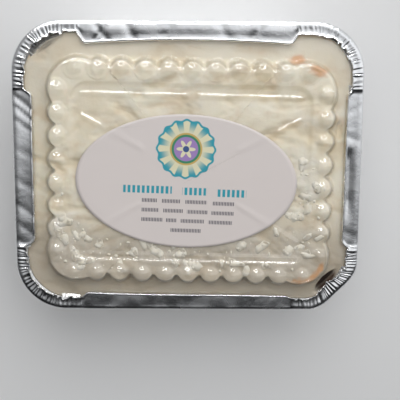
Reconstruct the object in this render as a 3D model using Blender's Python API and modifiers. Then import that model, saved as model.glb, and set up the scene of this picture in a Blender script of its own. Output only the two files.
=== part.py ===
"""A coconut cake in its shut foil tray: a tray with its rim folded over a clear beaded lid, an oval label and the cake.

Units are metres and +Z is up. The origin is the centre of the tray's base, the long side runs along X, and the
side that reads as the label's upper edge faces +Y.
"""

import math
import random

import bmesh
import bpy
from mathutils import Matrix, Vector, noise

MM = 0.001

# The foil tray, which drives every other size
RIM_LENGTH = 141.3 * MM
RIM_WIDTH = 118.0 * MM
RIM_CORNER = 20.5 * MM
RIM_HEIGHT = 42.0 * MM  # of the flat flange that carries the lid
FLANGE = 6.35 * MM
BASE_LENGTH = 112.0 * MM
BASE_WIDTH = 89.0 * MM
BASE_CORNER = 13.0 * MM
BASE_EDGE = 2.2 * MM  # the rounding between base and wall
WALL_CORNER = 16.0 * MM
FOIL = 0.35 * MM
GAP = 0.32 * MM  # between touching pieces

# The rim's fold, as (inset from the outer edge, height over the flange), from the flange up and back inwards
STRAIGHT_FOLD = ((0.75, 0.0), (0.0, 0.8), (0.7, 1.85), (3.2, 1.6), (6.3, 1.62), (7.5, 2.15), (7.2, 2.95), (6.5, 2.85))
CORNER_FOLD = ((0.75, 0.0), (0.0, 0.9), (0.8, 2.1), (2.2, 1.95), (3.6, 1.9), (4.6, 2.0), (5.0, 2.35), (4.7, 2.7))
FOLDED_POINTS = 3  # the first point whose inset follows the fold's reach
# How far the plain fold reaches in at the start, middle and end of each side: +X, +Y, -X and -Y
FOLD_REACH = ((7.3, 6.8, 6.3), (9.6, 7.6, 9.6), (8.3, 8.1, 8.3), (8.0, 6.7, 6.1))
PLEAT_RUN = 6.0 * MM  # how far the pleats reach past each corner's arc
PLEAT_STEP = 1.2 * MM  # from the last pleat to the plain fold
PLEAT_DEPTH = 0.28 * MM
PLEAT_RAGGED = 0.7 * MM
CORNER_STEPS = 16
DENT_DEPTH = 2.5 * MM  # of the knock in the rim's +X -Y corner

# The clear lid, in its own frame: it sits a little off centre and turned in the tray
LID_SHIFT = Vector((1.0 * MM, -1.5 * MM))
LID_TURN = math.radians(-1.1)
LID_FILM = 0.4 * MM
LID_HALF = Vector((66.9 * MM, 55.3 * MM))
LID_CORNER = 18.0 * MM
LID_BENT_REACH = 71.8 * MM  # diagonally to the flange's edge where the knock bends it in
LID_Z = RIM_HEIGHT + FOIL / 2 + GAP
BEAD_LINE = Vector((53.5 * MM, 41.0 * MM))  # the rounded rectangle that the beads stand on
BEAD_LINE_CORNER = 8.0 * MM
DOME_EDGE = 1.3 * MM  # from the beads' line out to the dome's wall
LOBE_EDGE = 4.0 * MM  # and out to the wall of the plain lobe that takes each corner
DOME_HEIGHT = 7.6 * MM
DOME_DRAFT = 0.7 * MM
DOME_ROUND = 1.6 * MM
PANEL_HALF = Vector((48.2 * MM, 35.8 * MM))
PANEL_CORNER = 7.0 * MM
PANEL_DROP = 0.6 * MM

# The beads along the dome's edge
BEAD_RADIUS = 4.45 * MM
BEAD_FOOT = 4.95 * MM
BEAD_HEIGHT = 8.4 * MM
BEAD_PITCH = 9.3 * MM
LONG_BEADS = 11
SHORT_BEADS = 8

# The ribs pressed into the lid's panel
RIB_WIDTH = 1.9 * MM
RIB_HEIGHT = 0.5 * MM
RIB_LINE = 32.6 * MM
RIB_END = 43.5 * MM
RIB_BREAK = 2.5 * MM
DIAGONAL_START = Vector((43.6 * MM, 24.6 * MM))

# The oval label, in the lid's frame
LABEL_HALF = Vector((44.3 * MM, 26.8 * MM))
LABEL_CENTRE = Vector((-1.8 * MM, -2.7 * MM))
LABEL_TURN = math.radians(-0.6)
LABEL_THICKNESS = 0.25 * MM

# The cake and the shredded coconut on it
CAKE_CLEAR = FOIL / 2 + GAP + 0.1 * MM
FROSTING_DIP = 1.6 * MM
SHRED_COUNT = 78
SHRED_LENGTH = (6.0 * MM, 12.0 * MM)
SHRED_WIDTH = (1.2 * MM, 2.2 * MM)
SHRED_THICKNESS = 0.55 * MM
SEED = 7


def clear_scene():
    """Removes every object of the open file."""
    for obj in list(bpy.data.objects):
        bpy.data.objects.remove(obj)


def collection(name):
    """A new collection in the scene."""
    made = bpy.data.collections.new(name)
    bpy.context.scene.collection.children.link(made)
    return made


def material(name, colour, roughness, metallic=0.0, alpha=1.0):
    """A Principled material."""
    made = bpy.data.materials.new(name)
    made.use_nodes = True
    shader = made.node_tree.nodes["Principled BSDF"]
    shader.inputs["Base Color"].default_value = (*colour, 1.0)
    shader.inputs["Roughness"].default_value = roughness
    shader.inputs["Metallic"].default_value = metallic
    shader.inputs["Alpha"].default_value = alpha
    made.diffuse_color = (*colour, alpha)
    return made


def object_from(name, bm, group, finish=None):
    """A named object that takes over this bmesh."""
    bmesh.ops.recalc_face_normals(bm, faces=bm.faces)
    mesh = bpy.data.meshes.new(name)
    bm.to_mesh(mesh)
    bm.free()
    made = bpy.data.objects.new(name, mesh)
    group.objects.link(made)
    if finish:
        mesh.materials.append(finish)
    return made


def rounded(half_x, half_y, radius, shares=((0.0, 0.33, 0.67),) * 2, corner_steps=8):
    """(point, outward direction) round a rounded rectangle, anticlockwise from the foot of its +X side.

    shares places the points along the sides that face X and along those that face Y.
    """
    inner_x, inner_y = half_x - radius, half_y - radius
    centres = [Vector((sx * inner_x, sy * inner_y)) for sx, sy in ((1, -1), (1, 1), (-1, 1), (-1, -1))]
    found = []
    for quarter in range(4):
        start, end = centres[quarter], centres[(quarter + 1) % 4]
        turn = quarter * math.pi / 2
        out = Vector((math.cos(turn), math.sin(turn)))
        found += [(start.lerp(end, share) + radius * out, out) for share in shares[quarter % 2]]
        for step in range(corner_steps):
            angle = turn + step / corner_steps * math.pi / 2
            out = Vector((math.cos(angle), math.sin(angle)))
            found.append((end + radius * out, out))
    return found


def level(half_x, half_y, radius, z, **plan):
    """A rounded rectangle at one height, as points."""
    return [Vector((*point, z)) for point, _ in rounded(half_x, half_y, radius, **plan)]


def skin(bm, rings, first_cap=False, last_cap=False):
    """Joins rings of equally many points into one surface, and closes its ends where asked."""
    rows = [[bm.verts.new(point) for point in ring] for ring in rings]
    for lower, upper in zip(rows, rows[1:]):
        for i in range(len(lower)):
            j = (i + 1) % len(lower)
            bm.faces.new((lower[i], lower[j], upper[j], upper[i]))
    if first_cap:
        bm.faces.new(rows[0][::-1])
    if last_cap:
        bm.faces.new(rows[-1])


def turned(profile, steps):
    """A closed turned mesh about Z from (radius, height) points that start and end on the axis."""
    bm = bmesh.new()
    verts = [bm.verts.new((radius, 0, z)) for radius, z in profile]
    edges = [bm.edges.new(pair) for pair in zip(verts, verts[1:])]
    bmesh.ops.spin(
        bm, geom=verts + edges, axis=(0, 0, 1), cent=(0, 0, 0), angle=2 * math.pi, steps=steps, use_merge=True
    )
    bmesh.ops.remove_doubles(bm, verts=bm.verts, dist=1e-6)
    return bm


def keep_largest(mesh):
    """Drops the loose scraps that a fusing left beside the largest body."""
    bm = bmesh.new()
    bm.from_mesh(mesh)
    left = set(bm.verts)
    bodies = []
    while left:
        reached, front = set(), [left.pop()]
        while front:
            vert = front.pop()
            reached.add(vert)
            near = {edge.other_vert(vert) for edge in vert.link_edges} & left
            left -= near
            front += near
        bodies.append(reached)
    bodies.sort(key=len)
    scraps = [vert for scrap in bodies[:-1] for vert in scrap]
    bmesh.ops.delete(bm, geom=scraps, context="VERTS")
    bm.to_mesh(mesh)
    bm.free()


def join_and_cut(body, additions, cutter=None, solver="EXACT"):
    """Fuses a collection's objects into body, applies that and removes them, then cuts with a cutter that stays."""
    union = body.modifiers.new("fuse", "BOOLEAN")
    union.operation = "UNION"
    union.operand_type = "COLLECTION"
    union.collection = additions
    union.solver = solver
    if cutter:
        cut = body.modifiers.new("hollow", "BOOLEAN")
        cut.operation = "DIFFERENCE"
        cut.object = cutter
        cut.solver = "EXACT"
    bpy.context.view_layer.update()
    graph = bpy.context.evaluated_depsgraph_get()
    fused = bpy.data.meshes.new_from_object(body.evaluated_get(graph))
    body.modifiers.clear()
    body.data = fused
    keep_largest(fused)
    for piece in list(additions.objects):
        bpy.data.objects.remove(piece)
    bpy.data.collections.remove(additions)


def side_stops(length):
    """Shares of a rim's straight side: pleats near both ends and one plain fold between them."""
    near = [PLEAT_RUN * share for share in (0.0, 1 / 3, 2 / 3, 1.0)] + [PLEAT_RUN + PLEAT_STEP]
    first = [distance / length for distance in near]
    return tuple(first + [0.5] + [1 - share for share in reversed(first[1:])])


def dent(out):
    """How far the rim is knocked in where it faces this way."""
    off = math.acos(max(min(out.dot(Vector((1, -1)).normalized()), 1.0), -1.0))
    return DENT_DEPTH * math.cos(2 * off) ** 2 if off < math.pi / 4 else 0.0


def fold_at(point, out, reach):
    """The plain fold of the rim at one place of its outline, reaching this far in."""
    stretch = (reach - STRAIGHT_FOLD[1][0]) / STRAIGHT_FOLD[5][0]
    found = []
    for number, (inset, height) in enumerate(STRAIGHT_FOLD):
        inset *= stretch if number >= FOLDED_POINTS else 1.0
        found.append(Vector((*(point - inset * MM * out), RIM_HEIGHT + height * MM)))
    return found


def pleat_at(point, out, lift, rough):
    """The pleated fold of a corner at one place of its outline, this much up or down."""
    start = point - dent(out) * out
    ragged = (rough.random() - 0.5) * PLEAT_RAGGED
    found = []
    for number, (inset, height) in enumerate(CORNER_FOLD):
        folded = number >= FOLDED_POINTS
        reach = inset * MM + (ragged if folded else 0.0)
        up = height * MM + (lift if number > 1 else 0.0)
        found.append(Vector((*(start - reach * out), RIM_HEIGHT + up)))
    return found


def gathered(ring, side_steps):
    """The ring with its points gathered at its sides' ends and at every fourth place of its arcs."""
    quarter = side_steps + CORNER_STEPS
    found = []
    for index in range(len(ring)):
        start, place = index - index % quarter, index % quarter
        if place < side_steps:
            place = 0 if place < side_steps / 2 else side_steps
        else:
            place -= (place - side_steps) % 4
        found.append(ring[start + place].copy())
    return found


def foil_tray(group):
    """The foil tray: base, tapered wall, flange and the rim folded over the lid, pleated at the corners."""
    half_x, half_y = (RIM_LENGTH - FOIL) / 2, (RIM_WIDTH - FOIL) / 2
    shares = side_stops(2 * (half_y - RIM_CORNER)), side_stops(2 * (half_x - RIM_CORNER))
    plan = {"shares": shares, "corner_steps": CORNER_STEPS}
    rough = random.Random(SEED)
    plain_from = shares[0].index(0.5) - 1
    folds = []
    for index, (point, out) in enumerate(rounded(half_x, half_y, RIM_CORNER, **plan)):
        quarter, place = divmod(index, len(shares[0]) + CORNER_STEPS)
        if plain_from <= place < plain_from + 3:
            folds.append(fold_at(point, out, FOLD_REACH[quarter][place - plain_from]))
        else:
            folds.append(pleat_at(point, out, PLEAT_DEPTH * (-1) ** index, rough))
    opening = half_x - FLANGE, half_y - FLANGE
    half_foil = FOIL / 2
    base = BASE_LENGTH / 2 - BASE_EDGE, BASE_WIDTH / 2 - BASE_EDGE, BASE_CORNER - BASE_EDGE
    rings = [
        gathered(level(*base, half_foil, **plan), len(shares[0])),
        level(BASE_LENGTH / 2, BASE_WIDTH / 2, BASE_CORNER, half_foil + BASE_EDGE, **plan),
        level(*opening, WALL_CORNER, RIM_HEIGHT, **plan),
    ]
    rings += [list(ring) for ring in zip(*folds)]
    bm = bmesh.new()
    skin(bm, rings)
    bmesh.ops.remove_doubles(bm, verts=bm.verts, dist=1e-6)
    bmesh.ops.holes_fill(bm, edges=[edge for edge in bm.edges if edge.is_boundary and edge.verts[0].co.z < BASE_EDGE])
    tray = object_from("foil_tray", bm, group, material("aluminium_foil", (0.83, 0.83, 0.84), 0.22, metallic=1.0))
    thickness = tray.modifiers.new("foil", "SOLIDIFY")
    thickness.thickness = FOIL
    thickness.offset = 0
    thickness.use_even_offset = True
    return tray


def bead_places():
    """The centre of every bead, in the lid's frame."""
    places = []
    for side in (-1, 1):
        for number in range(LONG_BEADS):
            places.append(((number - (LONG_BEADS - 1) / 2) * BEAD_PITCH, side * BEAD_LINE.y))
        for number in range(SHORT_BEADS):
            places.append((side * BEAD_LINE.x, (number - (SHORT_BEADS - 1) / 2) * BEAD_PITCH))
    return places


def bead_mesh():
    """One bead: a flared foot under a round dome."""
    shoulder = BEAD_HEIGHT - BEAD_RADIUS
    profile = [(0, 0), (BEAD_FOOT, 0), (BEAD_RADIUS, shoulder)]
    for degrees in (33, 67):
        angle = math.radians(degrees)
        profile.append((BEAD_RADIUS * math.cos(angle), shoulder + BEAD_RADIUS * math.sin(angle)))
    profile.append((0, BEAD_HEIGHT))
    return turned(profile, 12)


def dome_outline(inset, z, shares, corner_steps=8):
    """The outline of the dome with its corner lobes, this far inside its wall, at one height."""
    inner = BEAD_LINE - Vector((BEAD_LINE_CORNER, BEAD_LINE_CORNER))
    lobe = BEAD_LINE_CORNER + LOBE_EDGE - inset
    found = []
    for point, out in rounded(*BEAD_LINE, BEAD_LINE_CORNER, shares=shares, corner_steps=corner_steps):
        along = max(inner.x - abs(point.x), inner.y - abs(point.y), 0.0)
        bulge = math.sqrt(max(lobe**2 - along**2, 0.0)) - BEAD_LINE_CORNER
        found.append(Vector((*(point + max(bulge, DOME_EDGE - inset) * out), z)))
    return found


def lobe_stops(ends):
    """Shares of the beads' line along its straight sides, with these distances from both ends."""
    shares = []
    for length in (BEAD_LINE.y - BEAD_LINE_CORNER, BEAD_LINE.x - BEAD_LINE_CORNER):
        first = [distance / (2 * length) for distance in ends]
        shares.append(tuple([0.0] + first + [0.5] + [1 - share for share in reversed(first)]))
    return shares


def in_label(point):
    """True if a point of the lid's frame lies under the label or within a millimetre of it."""
    local = (point - LABEL_CENTRE) @ Matrix.Rotation(LABEL_TURN, 2)
    margin = 1.2 * MM
    return (local.x / (LABEL_HALF.x + margin)) ** 2 + (local.y / (LABEL_HALF.y + margin)) ** 2 < 1


def rib_runs():
    """The two ends of each rib, in the lid's frame: two broken lines and four diagonals that stop at the label."""
    runs = []
    for side in (-1, 1):
        for reach in (-1, 1):
            line = side * RIB_LINE
            runs.append((Vector((reach * RIB_BREAK, line)), Vector((reach * RIB_END, line))))
            outer = Vector((reach * DIAGONAL_START.x, side * DIAGONAL_START.y))
            step = -outer.normalized() * 0.1 * MM
            inner = outer.copy()
            while not in_label(inner + step):
                inner += step
            runs.append((inner, outer))
    return runs


def rib_mesh(length):
    """A low bar along X with its upper edges chamfered, sunk a little into the panel."""
    bm = bmesh.new()
    sunk = LID_FILM / 2
    bmesh.ops.create_cube(bm, size=1.0)
    bmesh.ops.scale(bm, vec=(length, RIB_WIDTH, RIB_HEIGHT + sunk), verts=bm.verts)
    bmesh.ops.translate(bm, vec=(0, 0, (RIB_HEIGHT - sunk) / 2), verts=bm.verts)
    upper = [v for v in bm.verts if v.co.z > 0]
    for vert in upper:
        vert.co.y *= 0.45
        vert.co.x -= math.copysign(RIB_HEIGHT, vert.co.x)
    return bm


def flange_outline(z, **plan):
    """The outline of the lid's flange, bent in at the knocked corner."""
    diagonal = Vector((1, -1)).normalized()
    points = level(*LID_HALF, LID_CORNER, z, **plan)
    for point in points:
        past = max(point.xy.dot(diagonal) - LID_BENT_REACH, 0.0)
        point.xy -= past * diagonal
    return points


def lid(group, cutters, frame):
    """The clear lid: flange, dome with beads and corner lobes, dropped panel and ribs, hollowed from below."""
    additions = collection("lid additions")
    bead = object_from("bead", bead_mesh(), additions)
    places = bead_places()
    bead.location = (*places.pop(), 0)
    for x, y in places:
        copy = bpy.data.objects.new("bead", bead.data)
        copy.location = (x, y, 0)
        additions.objects.link(copy)
    for start, end in rib_runs():
        rib = object_from("rib", rib_mesh((end - start).length), additions)
        rib.location = (*(start + end) / 2, DOME_HEIGHT - PANEL_DROP)
        rib.rotation_euler.z = math.atan2(end.y - start.y, end.x - start.x)
    plan = {"shares": lobe_stops((4 * MM, 7.6 * MM))}
    panel_x, panel_y = PANEL_HALF
    rings = [
        flange_outline(0, **plan),
        flange_outline(LID_FILM, **plan),
        dome_outline(-DOME_DRAFT, LID_FILM, **plan),
        dome_outline(0, DOME_HEIGHT - DOME_ROUND, **plan),
        dome_outline(DOME_ROUND, DOME_HEIGHT, **plan),
        level(panel_x, panel_y, PANEL_CORNER, DOME_HEIGHT, **plan),
        level(
            panel_x - PANEL_DROP,
            panel_y - PANEL_DROP,
            PANEL_CORNER - PANEL_DROP,
            DOME_HEIGHT - PANEL_DROP,
            **plan,
        ),
    ]
    bm = bmesh.new()
    skin(bm, rings, first_cap=True, last_cap=True)
    body = object_from("lid", bm, group, material("clear_plastic", (0.9, 0.92, 0.92), 0.05, alpha=0.25))
    hollow = bmesh.new()
    ceiling = DOME_HEIGHT - LID_FILM
    inset = LID_FILM + 0.2 * MM
    hollow_rings = [
        dome_outline(inset - DOME_DRAFT, -LID_FILM, **plan),
        dome_outline(inset - DOME_DRAFT, 0, **plan),
        dome_outline(inset, ceiling - DOME_ROUND, **plan),
        dome_outline(inset + DOME_ROUND, ceiling, **plan),
        level(panel_x + LID_FILM, panel_y + LID_FILM, PANEL_CORNER, ceiling, **plan),
        level(panel_x, panel_y, PANEL_CORNER, ceiling - PANEL_DROP, **plan),
    ]
    skin(hollow, hollow_rings, first_cap=True, last_cap=True)
    cutter = object_from("lid hollow", hollow, cutters)
    cutter.hide_render = True
    cutter.display_type = "WIRE"
    join_and_cut(body, additions, cutter)
    cutter.parent = frame
    body.parent = frame
    return body


def label(group, frame):
    """The oval paper label on the lid's panel."""
    bm = bmesh.new()
    bmesh.ops.create_cone(bm, cap_ends=True, segments=48, radius1=1.0, radius2=1.0, depth=LABEL_THICKNESS)
    bmesh.ops.scale(bm, vec=(*LABEL_HALF, 1.0), verts=bm.verts)
    made = object_from("label", bm, group, material("label_paper", (0.78, 0.75, 0.74), 0.45))
    made.location = (*LABEL_CENTRE, DOME_HEIGHT - PANEL_DROP + GAP + LABEL_THICKNESS / 2)
    made.rotation_euler.z = LABEL_TURN
    made.parent = frame
    return made


def frosting_height(x, y):
    """How far the frosting lies under its highest level at a place in the lid's frame."""
    broad = noise.noise(Vector((x / (17 * MM), y / (17 * MM), 0.4)))
    fine = noise.noise(Vector((x / (6 * MM), y / (6 * MM), 3.1)))
    return FROSTING_DIP * min(max(0.42 - 0.75 * broad - 0.4 * fine, 0.0), 1.0)


def shred_mesh(rough):
    """One flat strip of coconut, pinched at its ends."""
    bm = bmesh.new()
    length, width = rough.uniform(*SHRED_LENGTH), rough.uniform(*SHRED_WIDTH)
    bmesh.ops.create_cube(bm, size=1.0)
    bmesh.ops.scale(bm, vec=(length, width, SHRED_THICKNESS), verts=bm.verts)
    for vert in bm.verts:
        vert.co.y *= 0.55 if vert.co.x > 0 else 0.8
        vert.co.y += 0.25 * width * (1 if vert.co.x > 0 else -1)
    return bm


def shred_places(rough):
    """Places spread evenly over the cake's top by a jittered grid, in the lid's frame."""
    reach_x, reach_y = BEAD_LINE - Vector((7.5 * MM, 6.5 * MM))
    columns = round(math.sqrt(SHRED_COUNT * reach_x / reach_y))
    rows = round(SHRED_COUNT / columns)
    for column in range(columns):
        for row in range(rows):
            x = ((column + rough.uniform(0.2, 0.8)) / columns * 2 - 1) * reach_x
            y = ((row + rough.uniform(0.2, 0.8)) / rows * 2 - 1) * reach_y
            yield x, y


def coconut_cake(group, frame):
    """The cake with its frosting: it fills the tray and the dome, with shredded coconut fused to its top."""
    plan = {"shares": lobe_stops((4 * MM, 7.6 * MM, 21 * MM)), "corner_steps": 8}
    opening_x, opening_y = RIM_LENGTH / 2 - FLANGE, RIM_WIDTH / 2 - FLANGE
    foot = FOIL + GAP
    shoulder = LID_Z - GAP
    placed = frame.matrix_basis.copy()
    placed.translation.z = 0
    ceiling = LID_Z + DOME_HEIGHT - PANEL_DROP - LID_FILM - GAP
    wall = LID_FILM + 0.2 * MM + GAP + 0.1 * MM
    rings = [
        level(
            BASE_LENGTH / 2 - BASE_EDGE - CAKE_CLEAR,
            BASE_WIDTH / 2 - BASE_EDGE - CAKE_CLEAR,
            BASE_CORNER - BASE_EDGE - CAKE_CLEAR,
            foot,
            **plan,
        ),
        level(
            BASE_LENGTH / 2 - CAKE_CLEAR,
            BASE_WIDTH / 2 - CAKE_CLEAR,
            BASE_CORNER - CAKE_CLEAR,
            foot + BASE_EDGE,
            **plan,
        ),
        level(opening_x - CAKE_CLEAR, opening_y - CAKE_CLEAR, WALL_CORNER - CAKE_CLEAR, RIM_HEIGHT - GAP, **plan),
        level(opening_x - CAKE_CLEAR, opening_y - CAKE_CLEAR, WALL_CORNER - CAKE_CLEAR, shoulder, **plan),
    ]
    dome_rings = [
        dome_outline(wall - DOME_DRAFT, shoulder, **plan),
        dome_outline(wall, ceiling - DOME_ROUND - FROSTING_DIP / 2, **plan),
    ]
    edge = dome_outline(wall + DOME_ROUND + GAP, 0, **plan)
    for share in (1.0, 0.94, 0.86, 0.77, 0.67, 0.56, 0.44, 0.32, 0.2, 0.09):
        ring = [point * share for point in edge]
        for point in ring:
            point.z = ceiling - frosting_height(point.x, point.y) - (0.3 * MM if share == 1.0 else 0)
        dome_rings.append(ring)
    rings += [[placed @ point for point in ring] for ring in dome_rings]
    bm = bmesh.new()
    skin(bm, rings, first_cap=True, last_cap=True)
    cake = object_from("coconut_cake", bm, group, material("frosting", (0.84, 0.77, 0.64), 0.6))
    rough = random.Random(SEED)
    additions = collection("shreds")
    for x, y in shred_places(rough):
        shred = object_from("shred", shred_mesh(rough), additions)
        turn = rough.uniform(0, math.pi)
        along = Vector((math.cos(turn), math.sin(turn))) * SHRED_LENGTH[0] / 2
        under = [frosting_height(x + step * along.x, y + step * along.y) for step in (-1, 0, 1)]
        height = ceiling - max(sum(under) / 3, SHRED_THICKNESS * 0.55)
        shred.matrix_world = placed @ Matrix.Translation((x, y, height)) @ Matrix.Rotation(turn, 4, "Z")
    join_and_cut(cake, additions)
    return cake


def main():
    """Builds the tray, the lid, the label and the cake."""
    clear_scene()
    pack = collection("coconut cake")
    cutters = collection("cutters")
    lid_frame = bpy.data.objects.new("lid_frame", None)
    lid_frame.location = (*LID_SHIFT, LID_Z)
    lid_frame.rotation_euler.z = LID_TURN
    pack.objects.link(lid_frame)
    bpy.context.view_layer.update()
    foil_tray(pack)
    lid(pack, cutters, lid_frame)
    label(pack, lid_frame)
    coconut_cake(pack, lid_frame)


main()
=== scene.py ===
"""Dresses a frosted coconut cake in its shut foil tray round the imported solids.

The tray's foil, the clear lid's film, the oval label and the frosted cake each replace their solid. Lengths are in
metres, the tray's base is at height 0, and the label's upper edge is towards +Y.
"""

from __future__ import annotations

import logging
import math
import random
from dataclasses import dataclass, field
from enum import Enum, IntEnum
from functools import cached_property, reduce
from typing import Callable, Iterable, Iterator, Sequence

import bmesh
import bpy
import numpy as np
from mathutils import Matrix, Quaternion, Vector, noise

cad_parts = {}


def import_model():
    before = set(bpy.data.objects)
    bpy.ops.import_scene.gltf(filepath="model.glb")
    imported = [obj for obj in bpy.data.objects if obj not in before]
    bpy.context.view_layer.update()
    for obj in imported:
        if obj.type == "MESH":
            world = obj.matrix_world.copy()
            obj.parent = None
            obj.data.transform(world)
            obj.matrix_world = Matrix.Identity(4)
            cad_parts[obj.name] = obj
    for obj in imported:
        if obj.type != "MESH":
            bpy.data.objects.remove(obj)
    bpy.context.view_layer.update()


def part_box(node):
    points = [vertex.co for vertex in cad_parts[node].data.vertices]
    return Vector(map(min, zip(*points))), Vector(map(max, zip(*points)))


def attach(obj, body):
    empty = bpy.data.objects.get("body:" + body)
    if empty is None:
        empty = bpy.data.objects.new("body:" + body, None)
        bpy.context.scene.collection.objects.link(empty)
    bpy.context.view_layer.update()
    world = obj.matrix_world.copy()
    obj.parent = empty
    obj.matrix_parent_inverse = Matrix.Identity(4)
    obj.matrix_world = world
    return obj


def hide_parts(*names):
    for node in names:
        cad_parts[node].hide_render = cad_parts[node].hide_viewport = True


MM = 0.001
BODY = "root"
LOG = logging.getLogger("coconut_cake_pack")

Pair = tuple[float, float]
Triple = tuple[float, float, float]
Sides = tuple[float, float, float, float]
Colour = Triple
Ring = Callable[..., Vector]


class Side(IntEnum):
    """The way that a side faces, in the order of the stations."""

    PLUS_X = 0
    PLUS_Y = 1
    MINUS_X = 2
    MINUS_Y = 3


class LampShape(Enum):
    """The shapes of the studio's lamps."""

    PANEL = "SQUARE"
    DISK = "DISK"


def lerp(a: float, b: float, share: float) -> float:
    """Returns the value this share of the way from a to b."""
    return a + (b - a) * share


def smooth_step(low: float, high: float, value: float) -> float:
    """Returns 0 up to low, 1 from high on and a smooth rise between them."""
    share = min(max((value - low) / (high - low), 0.0), 1.0)
    return share * share * (3 - 2 * share)


def smooth_max(a: float, b: float, soft: float) -> float:
    """Returns the larger of two heights, blended where they differ by less than soft."""
    near = max(soft - abs(a - b), 0.0) / soft
    return max(a, b) + near * near * soft / 4


def rough_field(point: Vector, size: float, seed: float, octaves: int = 1) -> float:
    """Returns smooth noise from about -1 to 1 over the plan.

    Args:
        point: a place, of which x and y count.
        size: the length of its broadest waves.
        seed: which field is read.
        octaves: how many finer waves lie on it.

    Returns:
        The field's value there.
    """
    place = Vector((point.x / size, point.y / size, seed))
    return noise.noise(place) if octaves == 1 else noise.fractal(place, 0.9, 2.1, octaves)


@dataclass(frozen=True)
class Hill:
    """A smooth hill over the plan, in millimetres, with its axes turned by degrees."""

    x: float
    y: float
    reach_x: float
    reach_y: float
    turn: float = 0.0
    height: float = 1.0

    def at(self, point: Vector) -> float:
        """Returns the hill's height at a place given in metres.

        Args:
            point: the place.

        Returns:
            The height.
        """
        x, y = point.x / MM - self.x, point.y / MM - self.y
        cos, sin = math.cos(math.radians(self.turn)), math.sin(math.radians(self.turn))
        x, y = x * cos + y * sin, y * cos - x * sin
        return self.height * math.exp(-((x / self.reach_x) ** 2) - (y / self.reach_y) ** 2)


@dataclass(frozen=True)
class Station:
    """One place round a rounded rectangle, the same on every ring of a sheet.

    Attributes:
        quarter: the side, with the arc that follows it, anticlockwise.
        share: how far along that side or arc.
        arc: True on the arc.
    """

    quarter: int
    share: float
    arc: bool

    @cached_property
    def out(self) -> Vector:
        """The direction in which the outline faces here."""
        angle = (self.quarter + (self.share if self.arc else 0.0)) * math.pi / 2
        return Vector((math.cos(angle), math.sin(angle)))


@dataclass(frozen=True)
class Round:
    """A rounded rectangle round the origin."""

    half_x: float
    half_y: float
    corner: float

    @property
    def straight(self) -> Vector:
        """Half the length of the straight sides, along X and along Y."""
        return Vector((self.half_x - self.corner, self.half_y - self.corner))

    def at(self, station: Station) -> Vector:
        """Returns the point of the outline at a station.

        Args:
            station: the place round it.

        Returns:
            The point.
        """
        inner = self.straight
        signs = ((1, -1), (1, 1), (-1, 1), (-1, -1))
        start, end = (signs[(station.quarter + step) % 4] for step in (0, 1))
        share = 1.0 if station.arc else station.share
        centre = Vector(inner[axis] * lerp(start[axis], end[axis], share) for axis in (0, 1))
        return centre + self.corner * station.out

    def inset(self, amount: float) -> Round:
        """Returns the outline this far inside, with its corners kept a little round."""
        return Round(self.half_x - amount, self.half_y - amount, max(self.corner - amount, 0.5 * MM))

    def depth(self, point: Vector) -> float:
        """Returns how far inside the outline a point is, negative outside.

        Args:
            point: the point.

        Returns:
            The distance.
        """
        past_x, past_y = (abs(point[axis]) - self.straight[axis] for axis in (0, 1))
        away = math.hypot(max(past_x, 0.0), max(past_y, 0.0))
        return self.corner - (away if away > 0 else max(past_x, past_y))


def even_stations(side_x: int, side_y: int, arc: int) -> list[Station]:
    """Returns stations spread evenly on each side and arc.

    Args:
        side_x: how many on each side that faces X.
        side_y: how many on each side that faces Y.
        arc: how many on each arc.

    Returns:
        The stations, anticlockwise from the foot of the +X side.
    """
    found = []
    for quarter in range(4):
        side = side_y if quarter % 2 else side_x
        found += [Station(quarter, number / side, False) for number in range(side)]
        found += [Station(quarter, number / arc, True) for number in range(arc)]
    return found


class Sheet:
    """A surface grown from a closed outline, one extruded ring at a time.

    A ring is placed by a function that gives its point at a station, and takes any further values after it.
    """

    def __init__(self, stations: Sequence[Station], place: Ring, *values: object, capped: bool = False) -> None:
        """Starts the sheet.

        Args:
            stations: the places round each ring.
            place: gives the first ring's point at a station.
            values: what place takes after the station.
            capped: True to close the first ring with a face.
        """
        self.stations = stations
        self.bm = bmesh.new()
        self.number = self.bm.verts.layers.int.new("station")
        count = len(stations)
        made = bmesh.ops.create_circle(self.bm, cap_ends=capped, segments=count, radius=1.0)["verts"]
        first = math.atan2(made[0].co.y, made[0].co.x)
        for vert in made:
            turn = (math.atan2(vert.co.y, vert.co.x) - first) / (2 * math.pi)
            vert[self.number] = round(turn * count) % count
        self._put(made, place, values)
        self.edges = list({edge for vert in made for edge in vert.link_edges})

    def _put(self, verts: Iterable[bmesh.types.BMVert], place: Ring, values: tuple) -> None:
        """Moves each vertex to its station's point."""
        for vert in verts:
            vert.co = place(self.stations[vert[self.number]], *values)

    def grow(self, place: Ring, *values: object) -> None:
        """Extrudes the last ring and puts the new one in its place.

        Args:
            place: gives the new ring's point at a station.
            values: what place takes after the station.
        """
        made = bmesh.ops.extrude_edge_only(self.bm, edges=self.edges)["geom"]
        verts = {item for item in made if isinstance(item, bmesh.types.BMVert)}
        edges = [item for item in made if isinstance(item, bmesh.types.BMEdge)]
        self.edges = [edge for edge in edges if all(vert in verts for vert in edge.verts)]
        self._put(verts, place, values)

    def close(self) -> None:
        """Closes the last ring with a face."""
        bmesh.ops.contextual_create(self.bm, geom=self.edges)


class Heap:
    """Many small loose shapes gathered into one mesh."""

    def __init__(self) -> None:
        """Starts an empty heap."""
        self.bm = bmesh.new()
        self.carrier = bpy.data.meshes.new("carrier")

    def add(self, shape: bmesh.types.BMesh) -> None:
        """Adds a shape and frees it."""
        shape.to_mesh(self.carrier)
        shape.free()
        self.bm.from_mesh(self.carrier)


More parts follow.
